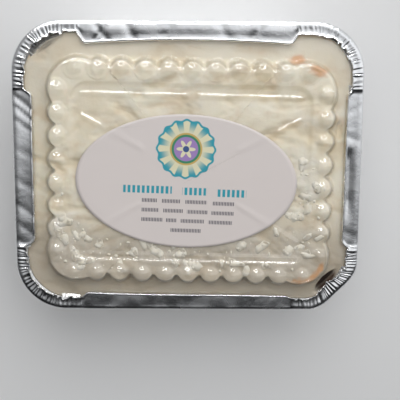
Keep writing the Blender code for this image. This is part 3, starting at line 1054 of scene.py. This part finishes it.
@dataclass
class LidForm:
    """The lid's form in its own frame, which the film, the label and the frosting follow.

    Heights are over the flange's underside.
    """

    line: Round = Round(53.5 * MM, 41.0 * MM, 8.0 * MM)
    dome_edge: float = 1.3 * MM
    lobe_edge: float = 4.0 * MM
    dome_height: float = 7.6 * MM
    draft: float = 1.5 * MM
    round_off: float = 1.5 * MM
    film: float = 0.4 * MM
    panel: Round = Round(48.2 * MM, 35.8 * MM, 7.0 * MM)
    panel_drop: float = 0.6 * MM
    panel_edge: float = 1.4 * MM
    flange: Round = Round(66.9 * MM, 55.3 * MM, 18.0 * MM)
    bent_reach: float = 71.8 * MM
    bead_radius: float = 4.45 * MM
    bead_foot: float = 5.75 * MM
    bead_height: float = 8.8 * MM
    bead_pitch: float = 9.3 * MM
    # How many beads each long and each short side has
    bead_counts: tuple[int, int] = (11, 8)
    soft: float = 0.55 * MM
    cap_soft: float = 0.35 * MM
    shift: Pair = (1.0 * MM, -1.5 * MM)
    turn: float = math.radians(-1.1)
    rib_height: float = 0.34 * MM
    diagonal_height: float = 0.46 * MM
    rib_width: float = 1.9 * MM
    rib_line: Pair = (-33.3 * MM, 31.2 * MM)
    rib_end: float = 43.5 * MM
    rib_break: float = 2.5 * MM
    diagonal: Pair = (43.4 * MM, 24.6 * MM)
    diagonal_shift: float = -2.0 * MM
    near: dict[Station, list[Pair]] = field(default_factory=dict, init=False)

    @cached_property
    def base_height(self) -> float:
        """The height of the flange's underside, from the frame."""
        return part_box("lid")[0].z

    @cached_property
    def placed(self) -> Matrix:
        """From the lid's frame to the object's."""
        return Matrix.Translation((*self.shift, self.base_height)) @ Matrix.Rotation(self.turn, 4, "Z")

    @cached_property
    def taken(self) -> Matrix:
        """From the object's frame to the lid's."""
        return self.placed.inverted()

    def put(self, point: Vector, height: float = 0.0) -> Vector:
        """Returns the object's point for a plan point and a height of the lid."""
        return self.placed @ Vector((*point, height))

    @property
    def shoulder(self) -> float:
        """The height at which a bead's cap starts."""
        return self.bead_height - self.bead_radius

    @cached_property
    def beads(self) -> list[Vector]:
        """The centre of every bead."""
        found = []
        long, short = (
            [(number - (count - 1) / 2) * self.bead_pitch for number in range(count)] for count in self.bead_counts
        )
        for side in (-1, 1):
            found += [Vector((along, side * self.line.half_y)) for along in long]
            found += [Vector((side * self.line.half_x, along)) for along in short]
        return found

    @cached_property
    def ribs(self) -> list[tuple[Vector, Vector, float]]:
        """The two ends and the height of every rib; the diagonal ones run on under the label."""
        found = []
        for side, line in zip((-1, 1), self.rib_line):
            for reach in (-1, 1):
                ends = (Vector((reach * self.rib_break, line)), Vector((reach * self.rib_end, line)))
                found.append((*ends, self.rib_height))
                outer = Vector((reach * self.diagonal[0], side * self.diagonal[1] + self.diagonal_shift))
                found.append((outer * 0.45, outer, self.diagonal_height))
        return found

    def beads_by(self, station: Station) -> list[Pair]:
        """Returns the beads near a station of the beads' line, as distances ahead and aside.

        Args:
            station: the place round the line.

        Returns:
            The distances of each bead.
        """
        if station not in self.near:
            aside = Vector((-station.out.y, station.out.x))
            aways = [bead - self.line.at(station) for bead in self.beads]
            close = [away for away in aways if away.length < 3 * self.bead_radius]
            self.near[station] = [(away.dot(station.out), away.dot(aside)) for away in close]
        return self.near[station]

    def bead_reach(self, height: float) -> float:
        """Returns a bead's radius at a height.

        Args:
            height: the height.

        Returns:
            The radius.
        """
        if height < self.shoulder:
            return lerp(self.bead_foot, self.bead_radius, height / self.shoulder)
        return math.sqrt(max(self.bead_radius**2 - (height - self.shoulder) ** 2, 0.0))

    def caps(self, point: Vector) -> Iterator[tuple[Vector, float]]:
        """Yields each bead that lies over a plan point, with the height of its cap there.

        Args:
            point: the plan point.

        Yields:
            The bead's centre and the height.
        """
        for bead in self.beads:
            away = (point - bead).length_squared
            if away < self.bead_radius**2:
                yield bead, self.shoulder + math.sqrt(self.bead_radius**2 - away)

    def wall(self, station: Station, height: float) -> float:
        """Returns how far the dome's wall stands outside the beads' line.

        Args:
            station: the place round the dome.
            height: the height.

        Returns:
            The distance.
        """
        over = min(max(height - self.dome_height + self.round_off, 0.0) / self.round_off, 1.0)
        lean = self.draft * max(1 - height / self.dome_height, 0.0) - self.round_off * (1 - math.sqrt(1 - over * over))
        point, inner = self.line.at(station), self.line.straight
        along = max(inner.x - abs(point.x), inner.y - abs(point.y), 0.0)
        lobe = self.line.corner + self.lobe_edge + lean
        bulge = math.sqrt(max(lobe * lobe - along * along, 0.0)) - self.line.corner
        best = smooth_max(self.dome_edge + lean, bulge, self.soft)
        reach = self.bead_reach(height)
        for ahead, aside in self.beads_by(station):
            if reach > abs(aside):
                best = smooth_max(best, ahead + math.sqrt(reach * reach - aside * aside), self.soft)
        return best

    def beside(self, station: Station, height: float, extra: float = 0.0) -> Vector:
        """Returns the plan point of the wall at a height, or this much further out."""
        return self.line.at(station) + (self.wall(station, height) + extra) * station.out

    def rib(self, point: Vector) -> float:
        """Returns the ribs' height at a place.

        Args:
            point: the plan point.

        Returns:
            The height.
        """
        height = 0.0
        for start, end, full in self.ribs:
            run = end - start
            share = min(max((point - start).dot(run) / run.length_squared, 0.0), 1.0)
            away = (point - start - run * share).length
            height = max(height, full * (1 - smooth_step(self.rib_width * 0.12, self.rib_width * 0.72, away)))
        return height

    def top(self, point: Vector) -> float:
        """Returns the height of the dome's upper side at a place inside its wall.

        Args:
            point: the plan point.

        Returns:
            The height.
        """
        drop = self.panel_drop * smooth_step(0.0, self.panel_edge, self.panel.depth(point))
        height = self.dome_height - drop + self.rib(point)
        for _, cap in self.caps(point):
            height = smooth_max(height, cap, self.cap_soft)
        return height

    def flange_point(self, station: Station) -> Vector:
        """Returns the flange's edge, bent in at the knocked corner.

        Args:
            station: the place round the flange.

        Returns:
            The plan point.
        """
        point = self.flange.at(station)
        diagonal = Vector((1, -1)).normalized()
        return point - max(point.dot(diagonal) - self.bent_reach, 0.0) * diagonal


@dataclass
class LidFilm:
    """The clear lid as one formed sheet of film."""

    form: LidForm
    thickness: float = 0.3 * MM
    fillet: float = 0.1 * MM
    flange_shares: tuple[float, ...] = (0.06, 0.5, 0.98, 1.0)
    wall_shares: tuple[float, ...] = (
        0.0, 0.1, 0.25, 0.42, 0.58, 0.7, 0.78, 0.83, 0.87, 0.9, 0.925, 0.948, 0.967, 0.982, 0.993, 0.998, 1.0,
    )
    crown_steps: tuple[float, ...] = (0.07, 0.15, 0.23, 0.31, 0.4, 0.49, 0.58, 0.67, 0.77, 0.88)
    # How far the panel's rings lie inside its edge, in millimetres, close together where the ribs run
    panel_rings: tuple[float, ...] = (
        -0.4, 0.0, 0.3, 0.6, 0.9, 1.2, 1.6, 2.0, 2.4, 2.8, 3.15, 3.45, 3.75, 4.1, 4.5, 4.9, 5.3, 5.7, 6.3, 7.1, 8.0,
        8.9, 9.8, 10.8, 11.9, 13.0, 14.1,
    )

    @cached_property
    def crest(self) -> dict[Station, float]:
        """The height of the wall's top at every station."""
        return {station: self.form.top(self.form.line.at(station)) for station in even_stations(121, 166, 26)}

    def flange_point(self, station: Station, share: float) -> Vector:
        """Returns a point of the flange, this share of the way in to the wall's foot."""
        foot = self.form.beside(station, self.form.film, self.fillet)
        return self.form.put(self.form.flange_point(station).lerp(foot, share), self.form.film)

    def wall_point(self, station: Station, share: float) -> Vector:
        """Returns a point of the wall, this share of the way up."""
        height = lerp(self.form.film + self.fillet, self.crest[station], share)
        return self.form.put(self.form.beside(station, height), height)

    def crown_point(self, station: Station, share: float) -> Vector:
        """Returns a point between the wall's top and the panel, this share of the way in.

        Args:
            station: the place round the lid.
            share: how far in it is.

        Returns:
            The point.
        """
        inner = self.form.panel.inset(self.panel_rings[0] * MM).at(station)
        point = self.form.beside(station, self.crest[station]).lerp(inner, share)
        return self.form.put(point, self.form.top(point))

    def panel_point(self, station: Station, amount: float) -> Vector:
        """Returns a point of the panel, this many millimetres inside its edge."""
        point = self.form.panel.inset(amount * MM).at(station)
        return self.form.put(point, self.form.top(point))

    def build(self) -> bpy.types.Object:
        """Returns the finished lid."""
        sheet = Sheet(list(self.crest), self.flange_point, 0.0)
        rings = (
            (self.flange_point, self.flange_shares),
            (self.wall_point, self.wall_shares),
            (self.crown_point, self.crown_steps),
            (self.panel_point, self.panel_rings),
        )
        for place, shares in rings:
            for share in shares:
                sheet.grow(place, share)
        sheet.close()
        return make_piece("lid_film", sheet.bm, FilmFinish().material(), self.thickness, -1.0)


@dataclass
class Label:
    """The oval paper label, which rides over the ribs beneath it."""

    form: LidForm
    half_x: float = 44.3 * MM
    half_y: float = 26.8 * MM
    centre: Pair = (-1.4 * MM, -2.9 * MM)
    turn: float = math.radians(-0.6)
    lift: float = 0.30 * MM
    paper: float = 0.08 * MM
    waviness: float = 0.05 * MM
    rib_share: float = 0.5
    stations: int = 144
    rings: int = 26

    def build(self) -> bpy.types.Object:
        """Returns the finished label."""
        form = self.form
        local = Matrix.Translation((*self.centre, 0)) @ Matrix.Rotation(self.turn, 4, "Z")
        floor = form.dome_height - form.panel_drop + self.lift
        bm = bmesh.new()
        bmesh.ops.create_circle(bm, cap_ends=True, segments=self.stations, radius=1.0)
        face = bm.faces[:][0]
        inset = 1.0 / (self.rings + 2)
        for _ in range(self.rings):
            bmesh.ops.inset_region(bm, faces=[face], thickness=inset, use_even_offset=True, use_boundary=True)
        for vert in bm.verts:
            flat = local @ Vector((vert.co.x * self.half_x, vert.co.y * self.half_y, 0.0))
            edge = smooth_step(0.9, 1.0, vert.co.xy.length) * rough_field(flat, 5 * MM, 8.0)
            wave = self.waviness * (rough_field(flat, 9 * MM, 4.0, 3) + edge)
            vert.co = form.put(flat.xy, floor + self.rib_share * form.rib(flat.xy) + wave)
        finish = PaperFinish(tuple(form.put(self.centre).xy), form.turn + self.turn)
        return make_piece("label_paper", bm, finish.material(), self.paper, -1.0)


@dataclass
class Frosting:
    """The cake's frosting, pressed against the lid where it is high and rough where it is low."""

    form: LidForm
    tray: FoilTray
    clearance: float = 0.8 * MM
    # How far the frosting laps out over the tray's flange, how deep its band may sink there and, inside the wall,
    # how much deeper for every millimetre further in
    lap: float = 2.5 * MM
    band_depth: float = 1.1 * MM
    wall_steepness: float = 3.0
    # How full the beads are in the top and left rows, and in the bottom and right ones
    bead_fill: Pair = (0.12, 0.55)
    foot: Round = Round(53.0 * MM, 41.5 * MM, 10.5 * MM)
    smooth_zones: tuple[Hill, ...] = (Hill(-42, 34, 19, 12), Hill(-56, 20, 6, 16), Hill(44, 44, 14, 5))
    fluffy_zones: tuple[Hill, ...] = (
        Hill(-22, -34, 34, 8), Hill(24, -35, 26, 9), Hill(47, -12, 9, 24), Hill(-48, -26, 9, 16),
    )
    clean_zone: Hill = Hill(-42, 34, 17, 11, height=1.4)
    # Where the frosting falls away: beside the knocked corner, at the opposite one, and a notch in the +X band; the
    # first two also carry painted shadow
    knocked: Hill = Hill(58.0, -46.95, 6.6, 2.3, 45.0)
    shaded: Hill = Hill(-56.7, 50.8, 8.0, 2.6, 40.0)
    notch: Hill = Hill(61.5, 16.0, 1.6, 4.5)
    # The browned streak inside the knocked corner: centre, radius and width, in millimetres
    streak: tuple[Pair, float, float] = ((47.2, -37.2), 7.6, 1.3)
    toast_spots: tuple[Hill, ...] = (
        Hill(45.5, -45.4, 6.0, 2.0, height=0.6),
        Hill(44.0, 44.2, 4.2, 2.2, height=1.1),
        Hill(53.0, 38.8, 4.2, 2.6, height=0.85),
        Hill(50.0, 41.0, 3.0, 1.8, height=0.7),
        Hill(2.0, 48.6, 4.0, 1.6, height=0.42),
        Hill(-22.0, 23.0, 3.5, 1.6, height=0.25),
        Hill(24.0, 48.0, 3.0, 1.4, height=0.3),
        Hill(-54.0, -8.0, 2.5, 6.0, height=0.25),
    )
    wall_steps: tuple[float, ...] = (0.0, 0.25, 0.5, 0.75, 1.0)
    # The top's rings: the fine ones out to where the label hides it, and those beneath it
    fine_rings: int = 50
    hidden_rings: int = 8
    fine_share: float = 0.62

    def zone(self, point: Vector, zones: Iterable[Hill]) -> float:
        """Returns how far a place belongs to some zones, from 0 to 1."""
        return min(sum(hill.at(point) for hill in zones), 1.0)

    def fluff(self, point: Vector) -> float:
        """Returns how much shredded coconut shows at a place, from 0 to 1.

        Args:
            point: the place.

        Returns:
            The share.
        """
        base = 0.35 + 0.65 * self.zone(point, self.fluffy_zones)
        patch = smooth_step(-0.35, 0.4, rough_field(point, 9 * MM, 21.0, 2) + base - 0.5)
        return patch * base * (1 - self.zone(point, self.smooth_zones))

    def gap(self, point: Vector) -> float:
        """Returns how far the frosting lies below the lid at a place, 0 where it is pressed flat.

        Args:
            point: the place.

        Returns:
            The distance.
        """
        swirl = 5 * MM * rough_field(point, 17 * MM, 31.0)
        smear = Vector((point.x * 0.5 + swirl, point.y + swirl, 0.0))
        lumps = rough_field(point, 4.2 * MM, 5.0, 2)
        folds = abs(rough_field(smear, 8 * MM, 11.0, 2))
        fluff = self.fluff(point)
        depth = 0.22 + 1.25 * rough_field(smear, 9 * MM, 1.0, 3) + 0.30 * lumps * (0.3 + fluff)
        depth -= 0.4 * folds + 0.9 * self.zone(point, self.smooth_zones)
        crumbs = 0.2 * fluff * abs(rough_field(point, 1.9 * MM, 17.0, 2))
        return 1.35 * MM * math.log1p(math.exp(6 * depth)) / 6 + crumbs * MM

    def fold_shade(self, place: Vector) -> float:
        """Returns how deep in a fold of the frosting a place lies, from 0 to 1, which sets how much painted shade the
        fold gets.
        """
        return smooth_step(0.15 * MM, 1.0 * MM, self.gap(place))

    def wet(self, place: Vector) -> float:
        """Returns 1 where the frosting is pressed against the lid, falling to 0 a little below it."""
        return 1 - smooth_step(0.0, 0.3 * MM, self.gap(place))

    def dull(self, place: Vector) -> float:
        """Returns how far painted shade darkens the frosting towards the near side and on the far band, from 0 to 1.

        Args:
            place: the place.

        Returns:
            The share.
        """
        outside = smooth_step(-4.4 * MM, -5.4 * MM, self.form.line.depth((self.form.taken @ place).xy))
        far = 0.42 * outside * smooth_step(10 * MM, 40 * MM, place.y)
        return max(0.9 * smooth_step(-12 * MM, -36 * MM, place.y), far)

    def stain(self, place: Vector) -> float:
        """Returns how far a place may show faint brown stains."""
        return 1 - 0.85 * min(self.clean_zone.at(place), 1.0)

    def hollow(self, point: Vector) -> float:
        """Returns how far the frosting falls away beside two corners of the lid and in the notch."""
        falls = ((self.knocked, 7.0, 0.75), (self.shaded, 4.0, 0.9), (self.notch, 2.0, 0.9))
        return sum(depth * MM * smooth_step(0.3, full, hill.at(point)) for hill, depth, full in falls)

    def toast(self, place: Vector) -> float:
        """Returns how browned the frosting is at a place.

        Args:
            place: the place.

        Returns:
            The share.
        """
        centre, radius, width = self.streak
        x, y = place.x / MM - centre[0], place.y / MM - centre[1]
        angle = math.degrees(math.atan2(y, x))
        window = smooth_step(-95.0, -60.0, angle) * (1 - smooth_step(-16.0, 16.0, angle))
        streak = window * math.exp(-(((math.hypot(x, y) - radius) / width) ** 2))
        return min(streak + sum(spot.at(place) for spot in self.toast_spots), 1.0)

    def shadow(self, place: Vector) -> float:
        """Returns how far a place is painted near-black in the two hollows: the cake's dark brown, darkened further as
        painted shadow.
        """
        deep = smooth_step(0.35, 0.7, self.knocked.at(place))
        return deep + 0.45 * smooth_step(0.3, 0.9, self.shaded.at(place)) * (1 - deep)

    def bead_share(self, bead: Vector) -> float:
        """Returns how much of a bead's cap the frosting fills."""
        return self.bead_fill[bead.y < -0.8 * self.form.line.half_y or bead.x > 0.9 * self.form.line.half_x]

    def ceiling(self, point: Vector) -> float:
        """Returns the height that the frosting is pressed to at a plan point of the lid's frame.

        Args:
            point: the plan point.

        Returns:
            The height.
        """
        form = self.form
        height = form.dome_height - form.panel_drop * smooth_step(-1.5 * MM, 3.5 * MM, form.panel.depth(point))
        for bead, cap in form.caps(point):
            height = smooth_max(height, lerp(form.dome_height, cap, self.bead_share(bead)), 1.2 * MM)
        return height - form.film - 0.03 * MM

    def surface(self, point: Vector) -> float:
        """Returns the frosting's height at a plan point of the lid's frame, inside the dome."""
        return self.ceiling(point) - self.gap(self.form.put(point))

    @cached_property
    def mouth(self) -> Round:
        """The outline of the frosting where it leaves the tray's wall."""
        return self.tray.opening.inset(self.clearance)

    @property
    def shoulder(self) -> float:
        """The height of the band under the lid's flange."""
        return self.form.base_height - 0.05 * MM

    @property
    def edge_height(self) -> float:
        """The height, in the lid's frame, at which the frosting's top starts."""
        return self.form.dome_height - self.form.round_off - self.form.film

    def band_point(self, station: Station, share: float) -> Vector:
        """Returns a point of the band under the lid's flange, this share of the way in to the dome.

        Args:
            station: the place round the band.
            share: how far in it is.

        Returns:
            The point.
        """
        end = self.form.put(self.form.beside(station, 0.0, -self.form.film)).xy
        point = self.mouth.inset(-self.lap).at(station).lerp(end, share)
        inside_wall = max(self.mouth.depth(point), 0.0) * self.wall_steepness
        low = min(0.55 * self.gap(point) + self.hollow(point), self.band_depth + inside_wall)
        return Vector((*point, self.shoulder - low))

    def wall_point(self, station: Station, share: float) -> Vector:
        """Returns a point inside the dome's wall, this share of the way up.

        Args:
            station: the place round the dome.
            share: how far up it is.

        Returns:
            The point.
        """
        height = lerp(0.3 * MM, self.edge_height, share)
        rough = 0.35 * MM * rough_field(self.form.line.at(station), 5 * MM, height / MM, 2)
        return self.form.put(self.form.beside(station, height, -self.form.film - 0.25 * MM - abs(rough)), height)

    def top_point(self, station: Station, share: float) -> Vector:
        """Returns a point of the top, this share of the way in from the wall.

        Args:
            station: the place round the dome.
            share: how far in it is.

        Returns:
            The point.
        """
        start = self.form.beside(station, self.edge_height, -self.form.film - 0.7 * self.form.round_off)
        point = start.lerp(start * 0.12, share)
        return self.form.put(point, self.surface(point))

    @staticmethod
    def level(station: Station, outline: Round, height: float) -> Vector:
        """Returns a point of an outline at a height."""
        return Vector((*outline.at(station), height))

    def build(self) -> bpy.types.Object:
        """Returns the finished frosting with the cake beneath it."""
        sheet = Sheet(even_stations(110, 150, 44), self.level, self.foot.inset(3 * MM), 0.7 * MM, capped=True)
        sheet.grow(self.level, self.foot, 3.0 * MM)
        for height in (24 * MM, self.tray.flange_height - 0.4 * MM):
            sheet.grow(self.level, self.tray.outline(height).inset(self.clearance), height)
        for outline in (self.mouth, self.mouth.inset(-self.lap)):
            sheet.grow(self.level, outline, self.shoulder - self.band_depth - 0.1 * MM)
        last = self.fine_rings + self.hidden_rings - 1
        fine = [self.fine_share * step / last for step in range(self.fine_rings)]
        hidden = [lerp(self.fine_share, 1.0, (step + 1) / self.hidden_rings) for step in range(self.hidden_rings)]
        rings = (
            (self.band_point, np.linspace(0.0, 1.0, 15)),
            (self.wall_point, self.wall_steps),
            (self.top_point, (*fine, *hidden)),
        )
        for place, shares in rings:
            for share in shares:
                sheet.grow(place, float(share))
        sheet.close()
        piece = make_piece("cake_frosting", sheet.bm, FrostingFinish().material())
        for value in (self.toast, self.shadow, self.fluff, self.stain, self.fold_shade, self.dull, self.wet):
            layer = piece.data.attributes.new(value.__name__, "FLOAT", "POINT")
            layer.data.foreach_set("value", [value(vert.co) for vert in piece.data.vertices])
        return piece


@dataclass
class Coconut:
    """The shredded coconut on the frosting."""

    form: LidForm
    frosting: Frosting
    strips: int = 46
    crumbs: int = 120
    strip_length: Pair = (3.0 * MM, 7.0 * MM)
    strip_width: Pair = (2.0 * MM, 3.6 * MM)
    crumb_size: Pair = (0.25, 0.75)
    thickness: float = 0.06 * MM
    # The oval that the label hides: its half lengths and how far it lies towards -Y, in millimetres
    hidden: Triple = (40.0, 23.0, 3.0)
    seed: int = 5

    def spot(self, rough: random.Random) -> Vector:
        """Draws a place on the cake's top, in the lid's frame, likelier where the coconut shows.

        Args:
            rough: the seeded draws.

        Returns:
            The plan point.
        """
        reach, (half_x, half_y, shift) = self.form.line, self.hidden
        while True:
            x = rough.uniform(-1, 1) * (reach.half_x + 0.5 * MM)
            y = rough.uniform(-1, 1) * (reach.half_y + 0.5 * MM)
            point = Vector((x, y))
            if reach.inset(0.5 * MM).depth(point) < 0:
                continue
            hidden = (x / (half_x * MM)) ** 2 + ((y + shift * MM) / (half_y * MM)) ** 2 < 1
            placed = self.form.put(point)
            if hidden or rough.random() > self.frosting.fluff(placed) - 0.2:
                continue
            if self.frosting.zone(placed, self.frosting.fluffy_zones) > 0.3:
                return point

    def strip(self, rough: random.Random) -> bmesh.types.BMesh:
        """Returns one strip dropped flat onto the frosting, but not through the lid.

        Args:
            rough: the seeded draws.

        Returns:
            Its mesh.
        """
        bm = bmesh.new()
        spot = self.spot(rough)
        length, width = rough.uniform(*self.strip_length), rough.uniform(*self.strip_width)
        bend, turn = rough.uniform(-0.25, 0.25), rough.uniform(0, 2 * math.pi)
        lifted = rough.uniform(0.0, 0.14) * MM
        made = bmesh.ops.create_grid(bm, x_segments=6, y_segments=1, size=0.5)["verts"]
        for vert in made:
            along, across = vert.co.x * 2, vert.co.y * 2
            taper = (1 - 0.8 * abs(along) ** 5) ** 0.7 + 0.25 * rough.uniform(-1, 1)
            vert.co.x = along * length / 2
            vert.co.y = across * width / 2 * taper + bend * length * along * along * 0.5
        bmesh.ops.rotate(bm, verts=made, cent=(0, 0, 0), matrix=Matrix.Rotation(turn, 3, "Z"))
        bmesh.ops.translate(bm, verts=made, vec=(*spot, 0))
        for vert in made:
            point = vert.co.xy
            lift = lifted * (1 - ((point - spot).length / (0.6 * length)) ** 2)
            height = min(self.frosting.surface(point) + lift, self.frosting.ceiling(point) - self.thickness / 2)
            vert.co = self.form.put(point, height)
        return bm

    def crumb(self, rough: random.Random) -> bmesh.types.BMesh:
        """Returns one crumb that lies on the frosting.

        Args:
            rough: the seeded draws.

        Returns:
            Its mesh.
        """
        bm = bmesh.new()
        spot = self.spot(rough)
        size = rough.uniform(*self.crumb_size) * MM
        made = bmesh.ops.create_icosphere(bm, subdivisions=1, radius=size)["verts"]
        scale = [rough.uniform(0.5, 1.4) for _ in range(3)]
        height, ceiling = self.frosting.surface(spot), self.frosting.ceiling(spot)
        for vert in made:
            vert.co = Vector(part * factor for part, factor in zip(vert.co, scale)) * rough.uniform(0.8, 1.2)
            vert.co += Vector((*spot, height))
            vert.co = self.form.put(vert.co.xy, min(vert.co.z, ceiling))
        return bm

    def build(self) -> list[bpy.types.Object]:
        """Returns the strips as one piece and the crumbs as another."""
        pieces = []
        kinds = (("strips", self.strip, self.strips, self.thickness), ("crumbs", self.crumb, self.crumbs, 0.0))
        for number, (name, shape, count, thickness) in enumerate(kinds):
            rough = random.Random(self.seed + number)
            heap = Heap()
            for _ in range(count):
                heap.add(shape(rough))
            finish = CoconutFinish().material()
            pieces.append(make_piece(f"cake_coconut_{name}", heap.bm, finish, thickness, recalculate=False))
        return pieces


@dataclass
class Studio:
    """The floor, the lights and the camera."""

    focal: float = 72.0
    sensor: float = 36.0
    camera: Triple = (2.7 * MM, 36.9 * MM, 367.1 * MM)
    tilt: Triple = (-8.72, -0.43, 0.34)
    floor_colour: Colour = (0.80, 0.80, 0.80)
    floor_size: float = 3.0
    aim: Triple = (0.0, 0.0, 0.04)
    key: Triple = (0.06, 0.52, 0.62)
    key_size: float = 0.6
    key_power: float = 2.45
    fill: Triple = (0.0, -0.08, 1.0)
    fill_size: float = 0.9
    fill_power: float = 2.0
    ring_centre: Triple = (-0.03, 0.49, 0.315)
    ring_radius: float = 0.26
    ring_lamps: int = 28
    ring_lamp_size: float = 0.045
    ring_lamp_power: float = 0.14
    air: Colour = (0.97, 0.985, 1.0)

    def place_camera(self) -> None:
        """Adds the camera of the photograph."""
        data = bpy.data.cameras.new("camera")
        data.lens, data.sensor_width = self.focal, self.sensor
        data.clip_start, data.clip_end = 0.01, 50.0
        camera = bpy.data.objects.new("camera", data)
        about_x, about_y, about_z = (math.radians(degrees) for degrees in self.tilt)
        turn = Matrix.Rotation(about_y, 4, "Y") @ Matrix.Rotation(about_x, 4, "X") @ Matrix.Rotation(about_z, 4, "Z")
        camera.matrix_world = Matrix.Translation(self.camera) @ turn
        bpy.context.scene.collection.objects.link(camera)
        bpy.context.scene.camera = camera

    def lay_floor(self) -> None:
        """Adds the floor."""
        shading = Shading(bpy.data.materials.new("floor"))
        dim = tuple(0.985 * part for part in self.floor_colour)
        tone = shading.blend(shading.noise(40.0, 3.0), dim, self.floor_colour)
        material = shading.finish(shading.add("BsdfPrincipled", {"Base Color": tone, "Roughness": 0.55}))
        bm = bmesh.new()
        bmesh.ops.create_grid(bm, x_segments=2, y_segments=2, size=self.floor_size)
        floor = make_piece("floor", bm, material, recalculate=False)

    def lamp(self, name: str, place: Vector, size: float, power: float, shape: LampShape) -> bpy.types.Object:
        """Adds an area light that looks at the pack and that the camera doesn't see.

        Args:
            name: the light's name.
            place: where it stands.
            size: its width.
            power: in watts.
            shape: the area's shape.

        Returns:
            The light.
        """
        data = bpy.data.lights.new(name, "AREA")
        data.shape, data.size, data.energy = shape.value, size, power
        lamp = bpy.data.objects.new(name, data)
        lamp.location = place
        lamp.rotation_mode = "QUATERNION"
        lamp.rotation_quaternion = self.towards(place)
        lamp.visible_camera = False
        bpy.context.scene.collection.objects.link(lamp)
        return lamp

    def towards(self, place: Vector) -> Quaternion:
        """Returns the turn that makes something at a place look at the pack."""
        return (Vector(self.aim) - place).to_track_quat("-Z", "Y")

    def light(self) -> None:
        """Adds the soft lights, which don't mirror, and the ring of small lamps, which only mirrors."""
        key = self.lamp("key", Vector(self.key), self.key_size, self.key_power, LampShape.PANEL)
        fill = self.lamp("fill", Vector(self.fill), self.fill_size, self.fill_power, LampShape.PANEL)
        key.visible_glossy = fill.visible_glossy = False
        centre = Vector(self.ring_centre)
        for number in range(self.ring_lamps):
            angle = 2 * math.pi * number / self.ring_lamps
            spoke = Vector((math.cos(angle), math.sin(angle), 0.0)) * self.ring_radius
            place = centre + self.towards(centre) @ spoke
            lamp = self.lamp(f"ring_{number}", place, self.ring_lamp_size, self.ring_lamp_power, LampShape.DISK)
            lamp.visible_diffuse = False

    def surround(self) -> None:
        """Adds a pale surround, brighter towards +Y than towards -Y."""
        shading = Shading(bpy.data.worlds.new("studio"))
        bpy.context.scene.world = shading.owner
        x, y, z = shading.split(shading.add("TexCoord", {}, "Generated"))
        behind, ahead = shading.ramp(y, -0.27, 0.06), shading.ramp(y, 0.25, 0.8)
        aside, low = shading.ramp(x, -0.5, 0.3), shading.ramp(z, 0.45, 0.1)
        bright = (0.025 + 0.84 * behind * (1 - 0.4 * ahead)) * (0.34 + 0.85 * aside) + 0.02 * low
        shader = shading.add("Background", {"Color": self.air, "Strength": bright})
        shading.finish(shader, "ShaderNodeOutputWorld")

    def build(self) -> None:
        """Adds everything that isn't part of the object."""
        self.lay_floor()
        self.light()
        self.surround()
        self.place_camera()
        bpy.context.scene.view_settings.view_transform = "Standard"


def keep(piece: bpy.types.Object, slot: str, *nodes: str) -> None:
    """Rides a piece on the pack, hides the CAD nodes it replaces and logs its face count.

    Args:
        piece: the piece.
        slot: the record's material slot; not used.
        nodes: the CAD nodes it replaces.
    """
    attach(piece, BODY)
    if nodes:
        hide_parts(*nodes)
    LOG.info("%s: %d faces", piece.name, len(piece.data.polygons))


def main() -> None:
    """Builds the pack's pieces in order, then the studio."""
    logging.basicConfig(level=logging.INFO, format="%(name)s %(message)s")
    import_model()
    form = LidForm()
    tray = FoilTray()
    keep(tray.build(), "foil", "foil_tray")
    keep(LidFilm(form).build(), "clear_plastic", "lid")
    keep(Label(form).build(), "label_paper", "label")
    frosting = Frosting(form, tray)
    keep(frosting.build(), "frosting", "coconut_cake")
    for piece in Coconut(form, frosting).build():
        keep(piece, "frosting")
    Studio().build()


if __name__ == "__main__":
    main()
